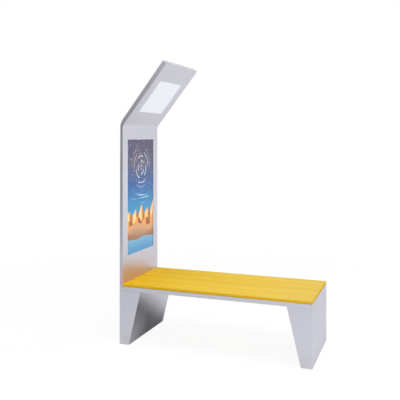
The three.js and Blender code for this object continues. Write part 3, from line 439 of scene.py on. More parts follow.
def painted_shade_under_seat(given, spot):
    """Painted shade: dark grey on faces that look down under the seat, below a slanting line, paler near
    the front foot.
    """
    y, z = parts(spot)[1:]
    down = spread(facing(spot.tree)[2], -0.20, -0.08, 1.0, 0.0, smooth=True)
    line = (y * given["Slant"] + z) / given["Height"]
    low = spread(line, 0.45, 1.6, 1.0, 0.0, smooth=True)
    front_foot_lift = spread(reach(y + HALF_DEPTH, z), 0.0, 0.32, 0.50, 1.0)
    cloud = spread(noise(spot, 5, 4, 0.5), 0.2, 0.8, 0.90, 1.0)
    mask = maths("MULTIPLY", down * low * cloud * front_foot_lift, given["Amount"], clamp=True)
    return {
        "Color": mixed(mask, given["Color"], given["Shade Color"]),
        "Roughness": mask * 0.08 + given["Roughness"],
    }


def brushed_metal(given, spot):
    """Fine parallel scratches, drawn along one axis."""
    along = add(spot.tree, "ShaderNodeVectorMath", {0: spot, 1: given["Stretch"]}, operation="MULTIPLY")
    line = noise(along, 3.0, 3, 0.6)
    return {
        "Color": scaled(given["Color"], line * 0.16 + 0.92),
        "Roughness": (line - 0.5) * 0.25 + given["Roughness"],
        "Normal": bump(line, given["Depth"], 0.0003),
    }


def wood_grain(given, spot):
    """Sawn boards: rings drawn out along the bench, fibres, and a tone of its own for each board."""
    board = mark(spot.tree, "board")
    shift = add(spot.tree, "ShaderNodeCombineXYZ", {"X": board, "Z": board})
    shifted = add(spot.tree, "ShaderNodeVectorMath", {0: spot, 1: shift}, operation="ADD")
    rings = add(
        spot.tree, "ShaderNodeTexWave",
        {"Vector": drawn_out(shifted, (0.55, 9.0, 9.0)), "Scale": 1.7, "Distortion": 5.0,
         "Detail": 3.0, "Detail Scale": 1.4},
        "Fac", wave_type="RINGS", rings_direction="X",
    )
    fibre = noise(drawn_out(shifted, (5, 260, 260)), 1.0, 3, 0.6)
    lines = spread(rings, 0.55, 0.95) * 0.55 + spread(fibre, 0.45, 0.75) * 0.6
    mask = maths("MULTIPLY", lines, given["Amount"], clamp=True)
    tone = maths("FRACT", board * 7.31) * 0.06 + 0.97
    return {
        "Color": scaled(mixed(mask, given["Color"], given["Grain Color"]), tone),
        "Roughness": mask * 0.14 + given["Roughness"],
        "Normal": bump(lines * -1.0, 0.22, 0.0006),
        "Lines": mask,
    }


# What makes each effect, and its inputs with the values that hold unless a material gives its own.
EFFECTS = {
    "Powder coat": (powder_coat, {"Drift": 0.04, "Pebble Scale": 650.0, "Pebble Depth": 0.1}),
    "Edge rub": (edge_rub, {"Rubbed Color": (0.75, 0.75, 0.76), "Amount": 0.4}),
    "Ground dust": (ground_dust, {"Dust Color": (0.42, 0.39, 0.35), "Height": 0.16, "Amount": 0.3}),
    # Painted shade under the seat: its dark grey, and the height and slant of its upper line.
    "Painted shade under seat": (painted_shade_under_seat, {
        "Shade Color": (0.036, 0.036, 0.044), "Height": 0.232, "Slant": 0.49, "Amount": 0.6,
    }),
    "Brushed metal": (brushed_metal, {"Stretch": (4.0, 400.0, 400.0), "Depth": 0.1}),
    "Wood grain": (wood_grain, {"Grain Color": (0.6, 0.3, 0.02), "Amount": 0.5}),
}
# What every effect takes besides.
SHARED_INPUTS = {"Color": (0.6, 0.6, 0.6), "Roughness": 0.4}


def new_socket(tree, way, label, kind):
    return tree.interface.new_socket(label, in_out=way, socket_type="NodeSocket" + kind)


def kind_of(label):
    """What kind of socket an effect's input or result is."""
    if label.endswith("Color"):
        return "Color"
    return "Vector" if label in ("Normal", "Stretch") else "Float"


def effect_group(name):
    """The shared node group of an effect."""
    build, inputs = EFFECTS[name]
    tree = bpy.data.node_groups.new(name, "ShaderNodeTree")
    for label, value in (SHARED_INPUTS | inputs).items():
        socket = new_socket(tree, "INPUT", label, kind_of(label))
        socket.default_value = (*value, 1) if kind_of(label) == "Color" else value
    results = build(wires(tree.nodes.new("NodeGroupInput")), place_of(tree))
    for label in results:
        new_socket(tree, "OUTPUT", label, kind_of(label))
    output = tree.nodes.new("NodeGroupOutput")
    for label, result in results.items():
        plug(result, output.inputs[label])
    arrange(tree)
    return tree


def effect(tree, name, below=None, **values):
    """A shared effect over the results below it, with its own values: the results so far."""
    made = tree.nodes.new("ShaderNodeGroup")
    made.node_tree = bpy.data.node_groups.get(name) or effect_group(name)
    made.label = name
    below = below or {}
    own = {label.replace("_", " ").title(): value for label, value in values.items()}
    for label, value in (below | own).items():
        if label in made.inputs:
            plug(value, made.inputs[label])
    return below | wires(made)


# Materials


def drive(shader, inputs):
    """Gives the shader's inputs; what an effect calls Color is the Base Color."""
    for label, value in inputs.items():
        label = "Base Color" if label == "Color" else label
        if label in shader.inputs:
            plug(value, shader.inputs[label])


def show(amount, first, second):
    """Puts a mix of two shaders on the surface."""
    either = add(amount.tree, "ShaderNodeMixShader", {0: amount, 1: first, 2: second})
    output = next(n for n in amount.tree.nodes if n.type == "OUTPUT_MATERIAL")
    plug(either, output.inputs["Surface"])


def painted_seat_reflection(tree, finishes):
    """Paint with a painted reflection of the yellow planks on the tower's foot, just above the seat."""
    x, y, z = parts(place_of(tree))
    where = spread(z, SEAT_HEIGHT - 0.045, SEAT_HEIGHT + 0.01, smooth=True)
    where *= spread(z, SEAT_HEIGHT + 0.06, SEAT_HEIGHT + 0.19, 1.0, 0.0, smooth=True)
    where *= spread(y, -HALF_DEPTH / 3, HALF_DEPTH, 1.0, 0.1, smooth=True)
    where *= maths("LESS_THAN", x, TOWER_DEPTH + 0.005 - BENCH_HALF)
    where *= spread(facing(tree)[0], -0.6, -0.3)
    return mixed(where, finishes.paint, finishes.seat_reflection)


def dust_and_shade_on_tops(below, amount):
    """A thin grey film on faces that look up: dust, and painted shade that darkens those faces."""
    cloud = spread(noise(place_of(below.tree), 11, 4, 0.6), 0.3, 0.7, 0.7, 1.0)
    film = spread(facing(below.tree)[2], 0.45, 0.75, 0.0, amount) * cloud
    return mixed(film, below, (0.34, 0.34, 0.33))


def painted_steel(tree, shader, finishes):
    """Satin silver paint, rubbed at its edges, with dust near the ground, painted shade under the seat,
    dust and painted shade on faces that look up, and a painted reflection of the planks.
    """
    # The paint, with the planks' painted reflection on the tower's foot.
    paint = painted_seat_reflection(tree, finishes)
    coat = effect(tree, "Powder coat", color=paint, roughness=0.34, pebble_depth=0.02)
    rub = effect(tree, "Edge rub", coat, rubbed_color=(0.74, 0.74, 0.78), amount=finishes.wear)
    dust = effect(tree, "Ground dust", rub, amount=finishes.dust, height=0.14)
    # Painted shade on faces that look down under the seat.
    under_seat_shade = effect(tree, "Painted shade under seat", dust, amount=finishes.under_seat_shade)
    drive(shader, under_seat_shade | {
        # Dust and painted shade on faces that look up, over the paint.
        "Color": dust_and_shade_on_tops(under_seat_shade["Color"], finishes.tops_dust_and_shade),
        "Metallic": 0.76,
        "Specular Tint": (0.83, 0.83, 0.86),
    })


def yellow_planks(tree, shader, finishes):
    """Stained wood with painted shade beside the tower and in the gaps between planks, a painted sheen
    towards the free end, painted light on its sides, and pale worn streaks.
    """
    grain = effect(
        tree, "Wood grain",
        color=finishes.plank, grain_color=finishes.plank_grain, roughness=0.66, amount=0.50,
    )
    spot = place_of(tree)
    x, y = parts(spot)[:2]
    aside, upward = facing(tree)[1:]
    up = spread(upward, 0.3, 0.9)
    # Painted shade: darker, deeper yellow on the planks towards the tower.
    shaded = spread(x, -BENCH_HALF, -BENCH_HALF / 3, 1.0, 0.0)
    # Painted sheen: paler tops towards the free end, in patches.
    patch = spread(noise(spot, 3.5, 3), 0.25, 0.75, 0.75, 1.0)
    painted_sheen = spread(x, -BENCH_HALF / 2, BENCH_HALF, 0.2, 0.85) * patch
    painted_sheen *= spread(x, -BENCH_HALF, -BENCH_HALF / 2)
    streaks = spread(noise(drawn_out(spot, (2.2, 42, 1)), 1.0, 3, 0.5), 0.50, 0.66, 0.0, 0.55)
    worn = streaks * spread(x, -BENCH_HALF, BENCH_HALF, 0.8, 0.1)
    # Painted shade: darker sides in the gaps between planks, stronger towards the tower.
    inward = spread(abs(y), HALF_DEPTH - 0.004, HALF_DEPTH - 0.002, 1.0, 0.0)
    gap_shade = inward * spread(abs(aside), 0.25, 0.7, 0.0, 0.45)
    gap_shade *= spread(x, -BENCH_HALF, BENCH_HALF, 1.0, 0.2)
    tint = grain["Color"]
    for amount, layer in (
        (shaded, finishes.plank_painted_shade),
        (painted_sheen * up, finishes.plank_sheen_and_wear),
        (worn, finishes.plank_sheen_and_wear),
        (grain["Lines"] * 0.35, finishes.plank_grain),
        # Painted light on the faces that don't look up.
        (1.0 - up, finishes.plank_side_light),
        (gap_shade, finishes.plank_gap_shade),
    ):
        tint = mixed(amount, tint, layer)
    rub = effect(
        tree, "Edge rub", grain | {"Color": tint}, rubbed_color=(0.86, 0.58, 0.10), amount=finishes.wear
    )
    drive(shader, rub | {"Specular IOR Level": 0.05})


def zinc(tree, shader, finishes):
    """Hot-dipped zinc: angular crystals, each with its own grey and gloss."""
    tone = crystals(place_of(tree), 70.0, "Color")
    grey = add(tree, "ShaderNodeSeparateColor", {"Color": tone}, "Red")
    dust = effect(
        tree, "Ground dust", color=mixed(grey, (0.36, 0.38, 0.40), (0.50, 0.52, 0.53)),
        roughness=spread(grey, 0, 1, 0.36, 0.58), amount=finishes.dust,
    )
    drive(shader, dust | {"Metallic": 0.85})


def brushed(tone, roughness, stretch, metallic=1.0):
    def build(tree, shader, finishes):
        line = effect(tree, "Brushed metal", color=tone, roughness=roughness, stretch=stretch)
        bright = tuple(min(1, x * 1.25) for x in tone)
        rub = effect(tree, "Edge rub", line, rubbed_color=bright, amount=finishes.wear)
        drive(shader, rub | {"Metallic": metallic})

    return build


def moulded(tone, roughness, pebble=0.25, scale=900.0):
    def build(tree, shader, finishes):
        coat = effect(
            tree, "Powder coat",
            color=tone, roughness=roughness, drift=0.10, pebble_scale=scale, pebble_depth=pebble,
        )
        bright = tuple(min(1, x * 1.6 + 0.02) for x in tone)
        drive(shader, effect(tree, "Edge rub", coat, rubbed_color=bright, amount=finishes.wear))

    return build


def clear(tint, roughness, bend):
    """Clear sheet that lets the lamps' light through to what lies behind it."""

    def build(tree, shader, finishes):
        smear = spread(noise(place_of(tree), 6, 4), 0.35, 0.75, roughness, roughness + 0.03)
        drive(shader, {"Color": tint, "Roughness": smear, "Transmission Weight": 1, "IOR": bend})
        shadow = add(tree, "ShaderNodeLightPath", output="Is Shadow Ray")
        show(shadow, Wire(shader.outputs[0]), add(tree, "ShaderNodeBsdfTransparent", {"Color": tint}))

    return build


def poster_print(tree, shader, finishes):
    """Star trails in a dusky sky that turns blue downwards, over rock needles, dunes and water."""
    spot = place_of(tree)
    side, z = parts(spot)[1:]
    up = z - POSTER_LOW
    picture = ramp(
        spread(up, 0.0, POSTER_HEIGHT),
        [(0.34, finishes.sky_low), (0.58, finishes.sky_middle), (0.80, finishes.sky_high)],
    )
    haze = spread(noise(drawn_out(spot, (1, 3, 11)), 1.6, 4, 0.55), 0.50, 0.85, 0.0, 0.14)
    picture = mixed(haze, picture, (0.16, 0.32, 0.55))
    picture = star_trails(spot, side, up, picture)
    picture = thin_clouds(spot, side, up, picture)
    for row, tone, shade in (
        ((0.30, 9.0, 0.115, 0.300), finishes.lit_rock, (0.34, 0.10, 0.020)),
        ((0.85, 6.5, 0.085, 0.235), finishes.rock, (0.24, 0.055, 0.015)),
    ):
        picture = rock_needles(spot, side, up, picture, row, tone, shade)
    for crest, tone, shade in (
        ((2.6, 12.0, 0.018, 0.215), (0.50, 0.25, 0.11), finishes.dune),
        ((4.4, 9.0, 0.022, 0.150), (0.30, 0.13, 0.065), (0.11, 0.055, 0.05)),
    ):
        picture = dune_band(side, up, picture, crest, tone, shade)
    picture = still_water(spot, side, up, picture, finishes.dune)
    drive(shader, {
        "Color": picture,
        "Emission Color": picture,
        "Emission Strength": finishes.poster_glow,
        "Specular IOR Level": 0.1,
        "Roughness": spread(noise(spot, 1800, 1), 0.3, 0.7, 0.52, 0.65),
    })


def dune_band(side, up, below, crest, tone, shade):
    """One band of dunes: below its wavy crest, the tone, darker away from the crest."""
    phase, waves, height, rise = crest
    depth = maths("SINE", side * waves + phase) * height + rise - up
    body = mixed(spread(depth, 0.0, 0.10, smooth=True), tone, shade)
    return mixed(spread(depth, 0.0, 0.002), below, body)


def rock_needles(spot, side, up, below, row, tone, shade):
    """A row of pointed rocks of uneven height, each with a lit side and a shaded one."""
    phase, per_metre, height, rise = row
    step = side * per_metre + phase
    across = maths("FRACT", step)
    tall = chance(maths("FLOOR", step)) * 0.7 + 0.3
    ragged = noise(spot, 60, 3) * 0.030 - 0.015
    slope = 1.0 - abs(across - 0.5) * 2.0
    depth = slope * tall * height + rise + ragged - up
    body = mixed(spread(across + ragged * 9.0, 0.46, 0.60), tone, shade)
    return mixed(spread(depth, 0.0, 0.002), below, body)


def star_trails(spot, side, up, below):
    """Arcs about a point in the upper sky, each broken at places of its own, and scattered stars."""
    centre_side, centre_up, arcs_per_metre = 0.01, 0.690, 27.0
    across, above = side - centre_side, up - centre_up
    away = reach(across, above)
    turn = maths("ARCTAN2", above, across) / (2 * math.pi)
    step = away * arcs_per_metre
    thin = spread(abs(maths("FRACT", step) - 0.5), 0.05, 0.12, 0.80, 0.0)
    near = spread(away, 0.08, 0.21, 1.0, 0.0, smooth=True)
    along = maths("FRACT", turn * 3.0 + chance(maths("FLOOR", step)) * 5.0)
    stroke = thin * near * spread(along, 0.50, 0.54, 1.0, 0.0)
    light = mixed(spread(side, -0.12, 0.10), (0.93, 0.76, 0.38), (0.90, 0.92, 0.97))
    star = spread(crystals(spot, 34.0, "Distance"), 0.10, 0.16, 1.0, 0.0)
    star *= spread(up, 0.40, 0.62, 0.0, 0.95, smooth=True)
    return mixed(star, mixed(stroke, below, light), (0.86, 0.90, 0.96))


def thin_clouds(spot, side, up, below):
    """A few pale wisps, low in the sky."""
    wisps = spread(noise(drawn_out(spot, (1, 5, 70)), 1.0, 4, 0.6), 0.54, 0.70)
    near = spread(reach(side * 0.45, up - 0.455), 0.02, 0.10, 0.90, 0.0, smooth=True)
    return mixed(wisps * near, below, (0.50, 0.72, 0.88))


def still_water(spot, side, up, below, streak):
    """Blue water at the foot, with broken streaks of the dunes' colour."""
    streaks = spread(noise(drawn_out(spot, (1, 6, 70)), 1.5, 3), 0.50, 0.62)
    streaks *= spread(up, 0.02, 0.12, 0.0, 0.85, smooth=True)
    water = mixed(spread(up, 0.0, 0.13, smooth=True), (0.050, 0.21, 0.42), (0.10, 0.34, 0.56))
    shore = maths("SINE", side * 22.0) * 0.006 + 0.105
    return mixed(maths("LESS_THAN", up, shore), below, mixed(streaks, water, streak))


def opal_lamp(tree, shader, finishes):
    """Opal sheet lit from behind: bright, a little weaker towards its edges."""
    spot = place_of(tree)
    edge = spread(abs(parts(spot)[1]), 0.15, 0.225, 1.0, 0.93, smooth=True)
    cloud = spread(noise(spot, 9, 2), 0.3, 0.7, 0.97, 1.0)
    drive(shader, {
        "Color": (0.32, 0.33, 0.36),
        "Emission Color": scaled(finishes.lamp, edge * cloud),
        "Emission Strength": 0.64,
        "Roughness": spread(cloud, 0.97, 1.0, 0.30, 0.38),
    })


def led_board(tree, shader, finishes):
    """White board with rows of yellow LED packages."""
    spot = place_of(tree)
    grid = drawn_out(spot, (40, 40, 40))
    y, z = parts(add(tree, "ShaderNodeVectorMath", {0: grid}, operation="FRACTION"))[1:]
    package = maths("LESS_THAN", abs(y - 0.5), 0.07) * maths("LESS_THAN", abs(z - 0.5), 0.07)
    drive(shader, {
        "Color": mixed(package, (0.86, 0.86, 0.84), (0.85, 0.62, 0.12)),
        "Roughness": spread(noise(spot, 300, 2), 0.3, 0.7, 0.35, 0.5),
    })


def module_glass(tree, shader, finishes):
    """Low-iron glass over the dark back sheet, between the cells."""
    smear = noise(place_of(tree), 5, 5, 0.6)
    drive(shader, {
        "Color": mixed(spread(smear, 0.45, 0.80, 0.0, 0.10), (0.012, 0.014, 0.020), (0.34, 0.33, 0.31)),
        "Roughness": spread(smear, 0.3, 0.8, 0.07, 0.22),
        "Coat Weight": 1,
        "Coat Roughness": 0.04,
    })


def solar_cell(tree, shader, finishes):
    """Blue-black silicon with fine printed fingers, under the module's glass."""
    spot = place_of(tree)
    finger = spread(bands(spot, "Y", Scale=105.0), 0.90, 0.98, 0.0, 0.55)
    deep = noise(spot, 40, 3)
    base = mixed(spread(deep, 0.3, 0.7), finishes.cell, tuple(x * 1.7 for x in finishes.cell))
    drive(shader, {
        "Color": mixed(finger, base, (0.10, 0.11, 0.14)),
        "Roughness": spread(deep, 0.3, 0.7, 0.16, 0.26),
        "Coat Weight": 1,
        "Coat Roughness": 0.05,
    })


def battery_case(tree, shader, finishes):
    """Blue moulded case up to its lid, with bright terminals above."""
    z = parts(place_of(tree))[2]
    lid = maths("GREATER_THAN", z, BATTERY_LID)
    post = maths("GREATER_THAN", z, BATTERY_TOP + 0.0004)
    case = mixed(lid, (0.018, 0.075, 0.26), (0.012, 0.014, 0.017))
    coat = effect(tree, "Powder coat", color=case, roughness=0.42, pebble_scale=500.0, pebble_depth=0.2)
    drive(shader, coat | {"Color": mixed(post, coat["Color"], (0.60, 0.50, 0.30)), "Metallic": post})


def webbing(tree, shader, finishes):
    """Woven strap: ribs across it and a fine over-and-under weave."""
    spot = place_of(tree)
    height = bands(spot, "DIAGONAL", Scale=160.0, Distortion=0.6) * bands(spot, "Y", Scale=220.0)
    drive(shader, {
        "Color": mixed(height, (0.006, 0.006, 0.007), (0.030, 0.030, 0.033)),
        "Roughness": spread(height, 0, 1, 0.9, 0.7),
        "Normal": bump(height, 0.6, 0.0006),
    })


# The finish of each of the record's slots, and of the pieces that are made here.
FINISHES = {
    "silver_paint": painted_steel,
    "yellow_plank": yellow_planks,
    "galvanised_steel": zinc,
    "stainless_steel": brushed((0.56, 0.57, 0.58), 0.28, (400.0, 400.0, 5.0)),
    "bare_aluminium": brushed((0.50, 0.51, 0.53), 0.34, (400.0, 5.0, 400.0)),
    "black_aluminium": brushed((0.020, 0.020, 0.022), 0.40, (400.0, 400.0, 6.0), 0.6),
    "poster_glass": clear((0.97, 0.99, 0.98), 0.01, 1.15),
    "light_guide": clear((0.97, 0.99, 1.0), 0.04, 1.28),
    "poster_print": poster_print,
    "white_film": moulded((0.86, 0.86, 0.86), 0.55, 0.08, 300.0),
    "led_board": led_board,
    "opal_diffuser": opal_lamp,
    "solar_glass": module_glass,
    "black_plastic": moulded((0.014, 0.0145, 0.016), 0.50),
    "battery_case": battery_case,
    "strap_webbing": webbing,
    "cable_jacket": moulded((0.009, 0.009, 0.010), 0.55, 0.15, 1400.0),
    "solar_cell": solar_cell,
    "cell_ribbon": brushed((0.42, 0.42, 0.44), 0.30, (5.0, 500.0, 5.0), 0.8),
    "red_rubber": moulded((0.33, 0.016, 0.012), 0.62, 0.2, 600.0),
    "contact_gold": brushed((0.75, 0.52, 0.20), 0.25, (300.0, 6.0, 300.0)),
}


def new_material(name, build, settings):
    """A material whose nodes are set up round a Principled BSDF."""
    made = bpy.data.materials.new(name)
    made.use_nodes = True
    shader = next(n for n in made.node_tree.nodes if n.type == "BSDF_PRINCIPLED")
    build(made.node_tree, shader, settings)
    arrange(made.node_tree)
    return made


def finish_of(slot):
    """The material for a slot, made the first time that it is asked for."""
    name = "finish:" + slot
    made = bpy.data.materials.get(name)
    return made or new_material(name, FINISHES[slot], bpy.context.scene.bench_finishes)


# Pieces

WELD_DISTANCE = 4e-6
FLAT_ANGLE = math.radians(0.4)
SHARP_ANGLE = math.radians(38)


def settle(obj, body, slot):
    """Gives a finished piece its material and the body that it moves with."""
    if not obj.data.materials:
        obj.data.materials.append(finish_of(slot))
    if obj.name not in bpy.context.scene.collection.objects:
        bpy.context.scene.collection.objects.link(obj)
    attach(obj, body)


def baked(obj, name):
    """The object's evaluated mesh as a plain object, in place of it."""
    graph = bpy.context.evaluated_depsgraph_get()
    mesh = bpy.data.meshes.new_from_object(obj.evaluated_get(graph), depsgraph=graph)
    mesh.name = name
    old = obj.data
    bpy.data.objects.remove(obj)
    if old.users == 0:
        bpy.data.meshes.remove(old)
    return bpy.data.objects.new(name, mesh)


def from_bmesh(bm, name):
    mesh = bpy.data.meshes.new(name)
    bm.to_mesh(mesh)
    bm.free()
    return bpy.data.objects.new(name, mesh)


def rounded(node, radius, sharp_angle=SHARP_ANGLE, board=0):
    """A welded copy of a CAD node with its sharp edges rounded, which stands for the node."""
    bm = bmesh.new()
    bm.from_mesh(NODES[node].data)
    bmesh.ops.remove_doubles(bm, verts=bm.verts, dist=WELD_DISTANCE)
    bmesh.ops.dissolve_limit(bm, angle_limit=FLAT_ANGLE, verts=bm.verts, edges=bm.edges, delimit=set())
    edge_mark = bm.faces.layers.float.new("edge")
    board_mark = bm.faces.layers.float.new("board")
    sharp = [e for e in bm.edges if len(e.link_faces) == 2 and e.calc_face_angle(0) > sharp_angle]
    if radius:
        made = bmesh.ops.bevel(
            bm, geom=sharp, offset=radius, offset_type="OFFSET", segments=2, profile=0.5,
            affect="EDGES", clamp_overlap=True, loop_slide=True,
        )
        for face in made["faces"]:
            face[edge_mark] = 1
    for face in bm.faces:
        face.smooth = True
        face[board_mark] = board
    obj = from_bmesh(bm, node + "_rough")
    bpy.context.scene.collection.objects.link(obj)
    even = obj.modifiers.new("even", "WEIGHTED_NORMAL")
    even.mode = "FACE_AREA"
    even.weight = 100
    even.keep_sharp = True
    obj = baked(obj, node + "_piece")
    obj.data.materials.clear()
    settle(obj, BODIES[node], SLOTS[node])
    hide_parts(node)


def refinished(*nodes):
    """CAD nodes that keep their shape and get a better material."""
    for node in nodes:
        for slot in NODES[node].material_slots:
            slot.material = finish_of(SLOTS[node])


# Shapes for small pieces


def ring_radius(radius, angle, sides):
    """The reach of a circle, or of a polygon with flats at the radius, at an angle."""
    if not sides:
        return radius
    step = 2 * math.pi / sides
    return radius / math.cos((angle + step / 2) % step - step / 2)


def turned_piece(name, profile, steps=24):
    """A solid turned about z: its rings are (radius, height, flats), from one end to the other."""
    bm = bmesh.new()
    rings = []
    for radius, height, flats in profile:
        rings.append([])
        for i in range(steps):
            angle = 2 * math.pi * i / steps
            reach_out = ring_radius(radius, angle, flats)
            spot = (reach_out * math.cos(angle), reach_out * math.sin(angle), height)
            rings[-1].append(bm.verts.new(spot))
    for low, high in zip(rings, rings[1:]):
        for i in range(steps):
            j = (i + 1) % steps
            bm.faces.new((low[i], low[j], high[j], high[i]))
    bm.faces.new(rings[0])
    bm.faces.new(rings[-1])
    bmesh.ops.recalc_face_normals(bm, faces=bm.faces)
    for face in bm.faces:
        face.smooth = len(face.verts) == 4
    for edge in bm.edges:
        edge.smooth = edge.calc_face_angle(0) < math.radians(35)
    return from_bmesh(bm, name)


def button_screw(radius, height, shank):
    """Domed head with a hexagon socket, standing on z = 0, and a shank below it."""
    hexagon = 6
    socket = 0.42 * radius
    dome = [(radius * math.cos(t), height * math.sin(t), 0) for t in (0.35, 0.7, 1.0)]
    return turned_piece(
        "button_screw",
        [(0.4 * radius, -shank, 0), (0.4 * radius, 0, 0), (radius, 0, 0), *dome,
         (socket * 1.06, height * 0.99, 0), (socket, height * 0.95, hexagon),
         (socket * 0.92, height * 0.35, hexagon)],
    )


def anchor_nut(flats, height, stud, stud_end, below):
    """Washer, chamfered hexagon nut and the stud's end, on a plate whose top is z = 0."""
    half = flats / 2
    washer, washer_top, chamfer, hexagon = half * 1.25, 0.0022, 0.001, 6
    return turned_piece(
        "anchor_nut",
        [(stud, -below, 0), (stud, 0, 0), (washer, 0, 0), (washer, washer_top, 0),
         (half * 0.98, 0.0023, 0), (half, 0.003, hexagon), (half, height - chamfer, hexagon),
         (half * 0.94, height, 0), (stud, height, 0), (stud, stud_end - chamfer, 0),
         (stud * 0.85, stud_end, 0)],
    )


def instance_tree(name, inputs, lay):
    """Sets an object on the points and turns that lay gives, as one mesh of one material."""
    tree = bpy.data.node_groups.new(name, "GeometryNodeTree")
    kinds = {"Geometry": "Geometry", **inputs, "Instance": "Object", "Material": "Material"}
    for label, kind in kinds.items():
        new_socket(tree, "INPUT", label, kind)
    new_socket(tree, "OUTPUT", "Geometry", "Geometry")
    given = wires(tree.nodes.new("NodeGroupInput"))
    shape = add(tree, "GeometryNodeObjectInfo", {"Object": given["Instance"]}, "Geometry")
    laid = add(tree, "GeometryNodeInstanceOnPoints", {**lay(tree, given), "Instance": shape})
    solid = add(tree, "GeometryNodeRealizeInstances", {"Geometry": laid})
    done = add(tree, "GeometryNodeSetMaterial", {"Geometry": solid, "Material": given["Material"]})
    plug(done, tree.nodes.new("NodeGroupOutput").inputs[0])
    arrange(tree)
    return tree


def fastener_places(tree, given):
    """Each fastener's head lies along its point's direction, turned at random."""
    heading = add(
        tree, "GeometryNodeInputNamedAttribute", {"Name": "direction"}, "Attribute",
        data_type="FLOAT_VECTOR",
    )
    aligned = add(tree, "FunctionNodeAlignRotationToVector", {"Vector": heading}, axis="Z")
    full_turn = {"Seed": given["Seed"], 3: 2 * math.pi}
    spin = add(tree, "FunctionNodeRandomValue", full_turn, 1, data_type="FLOAT")
    own_turn = add(tree, "FunctionNodeAxisAngleToRotation", {"Angle": spin})
    both = {"Rotation": aligned, "Rotate By": own_turn}
    turned_by = add(tree, "FunctionNodeRotateRotation", both, rotation_space="LOCAL")
    return {"Points": given["Geometry"], "Rotation": turned_by}


def cell_places(tree, given):
    """A grid about the middle: rows along x, columns along y."""
    grid = {"Vertices X": given["Rows"], "Vertices Y": given["Columns"]}
    grid["Size X"] = (given["Rows"] - 1.0) * given["Row Pitch"]
    grid["Size Y"] = (given["Columns"] - 1.0) * given["Column Pitch"]
    return {"Points": add(tree, "GeometryNodeMeshGrid", grid, "Mesh")}


def run_tree(carrier, tree, inputs, name):
    """Runs a node tree on a carrier object, with its inputs, and gives the baked object."""
    bpy.context.scene.collection.objects.link(carrier)
    modifier = carrier.modifiers.new(tree.name, "NODES")
    modifier.node_group = tree
    for item in tree.interface.items_tree:
        if item.in_out == "INPUT" and item.name in inputs:
            modifier[item.identifier] = inputs[item.name]
    carrier.update_tag()
    made = baked(carrier, name)
    layers = made.data.attributes
    for layer in [a for a in layers if a.name == "direction"]:
        layers.remove(layer)
    bpy.data.objects.remove(inputs["Instance"])
    return made


def fastened(name, fastener, spots, slot, seed):
    """One mesh of the same fastener at many spots, each a place and a direction."""
    mesh = bpy.data.meshes.new(name + "_points")
    mesh.from_pydata([tuple(spot) for spot, way in spots], [], [])
    heading = mesh.attributes.new("direction", "FLOAT_VECTOR", "POINT")
    for i, (spot, way) in enumerate(spots):
        heading.data[i].vector = tuple(way)
    trees = bpy.data.node_groups
    tree = trees.get("Fasteners") or instance_tree("Fasteners", {"Seed": "Int"}, fastener_places)
    bpy.context.scene.collection.objects.link(fastener)
    inputs = {"Instance": fastener, "Seed": seed, "Material": finish_of(slot)}
    made = run_tree(bpy.data.objects.new(name + "_carrier", mesh), tree, inputs, name)
    settle(made, "frame", slot)


def screws(name, size, spots, seed):
    fastened(name, button_screw(*size), spots, "stainless_steel", seed)


def slab(bm, xs, ys, zs):
    """Adds a block between two corners to a mesh."""
    made = bmesh.ops.create_cube(bm, size=1)
    size = [high - low for low, high in (xs, ys, zs)]
    middle = [(high + low) / 2 for low, high in (xs, ys, zs)]
    shape = Matrix.Translation(middle) @ Matrix.Diagonal((*size, 1))
    bmesh.ops.transform(bm, matrix=shape, verts=made["verts"])


def about(middle, half):
    """The two values this far from the middle."""
    return middle - half, middle + half


def placed(bm, name, matrix, slot):
    """A finished mesh, moved into its place."""
    bm.transform(matrix)
    bmesh.ops.recalc_face_normals(bm, faces=bm.faces)
    settle(from_bmesh(bm, name), "frame", slot)


class BENCH_OT_sheet_steel(bpy.types.Operator):
    """Legs, rails and the tower's sheets, with folded edges and satin paint"""

    bl_idname = "bench.sheet_steel"
    bl_label = "Painted sheet steel"
    bl_options = {"REGISTER", "UNDO"}

    def execute(self, context):
        for node in (
            "tower_leg_shell", "free_leg_shell", "seat_rail_front", "seat_rail_back", "seat_rail_end",
            "tower_side_front", "tower_side_back", "tower_face", "tower_back",
        ):
            rounded(node, context.scene.bench_sizes.sheet_edge)
        return {"FINISHED"}


class BENCH_OT_seat(bpy.types.Operator):
    """Seat planks with their grain, and the channels under them"""

    bl_idname = "bench.seat"
    bl_label = "Seat"
    bl_options = {"REGISTER", "UNDO"}

    def execute(self, context):
        for i in range(PLANK_COUNT):
            rounded(f"seat_plank_{i + 1}", context.scene.bench_sizes.plank_edge, board=0.37 + 1.19 * i)
        refinished("seat_bearer_1", "seat_bearer_2", "seat_bearer_3")
        self.plank_screws()
        return {"FINISHED"}

    def plank_screws(self):
        """Two screws through each bearer into each plank, from below."""
        down = (0, 0, -1)
        spots = []
        for x in BEARER_PLACES:
            for i in range(PLANK_COUNT):
                middle = -HALF_DEPTH + PLANK_WIDTH / 2 + (PLANK_WIDTH + PLANK_GAP) * i
                for y in about(middle, 0.21 * PLANK_WIDTH):
                    spots.append((BENCH @ Vector((x, y, BEARER_WEB)), down))
        screws("plank_screws", PLANK_SCREW, spots, seed=3)


class BENCH_OT_mast(bpy.types.Operator):
    """Posts, bar and base plates inside the steel"""

    bl_idname = "bench.mast"
    bl_label = "Mast"
    bl_options = {"REGISTER", "UNDO"}

    def execute(self, context):
        refinished("tower_leg_base_plate", "free_leg_base_plate")
        refinished("mast_post_front", "mast_post_back", "mast_bar")
        return {"FINISHED"}


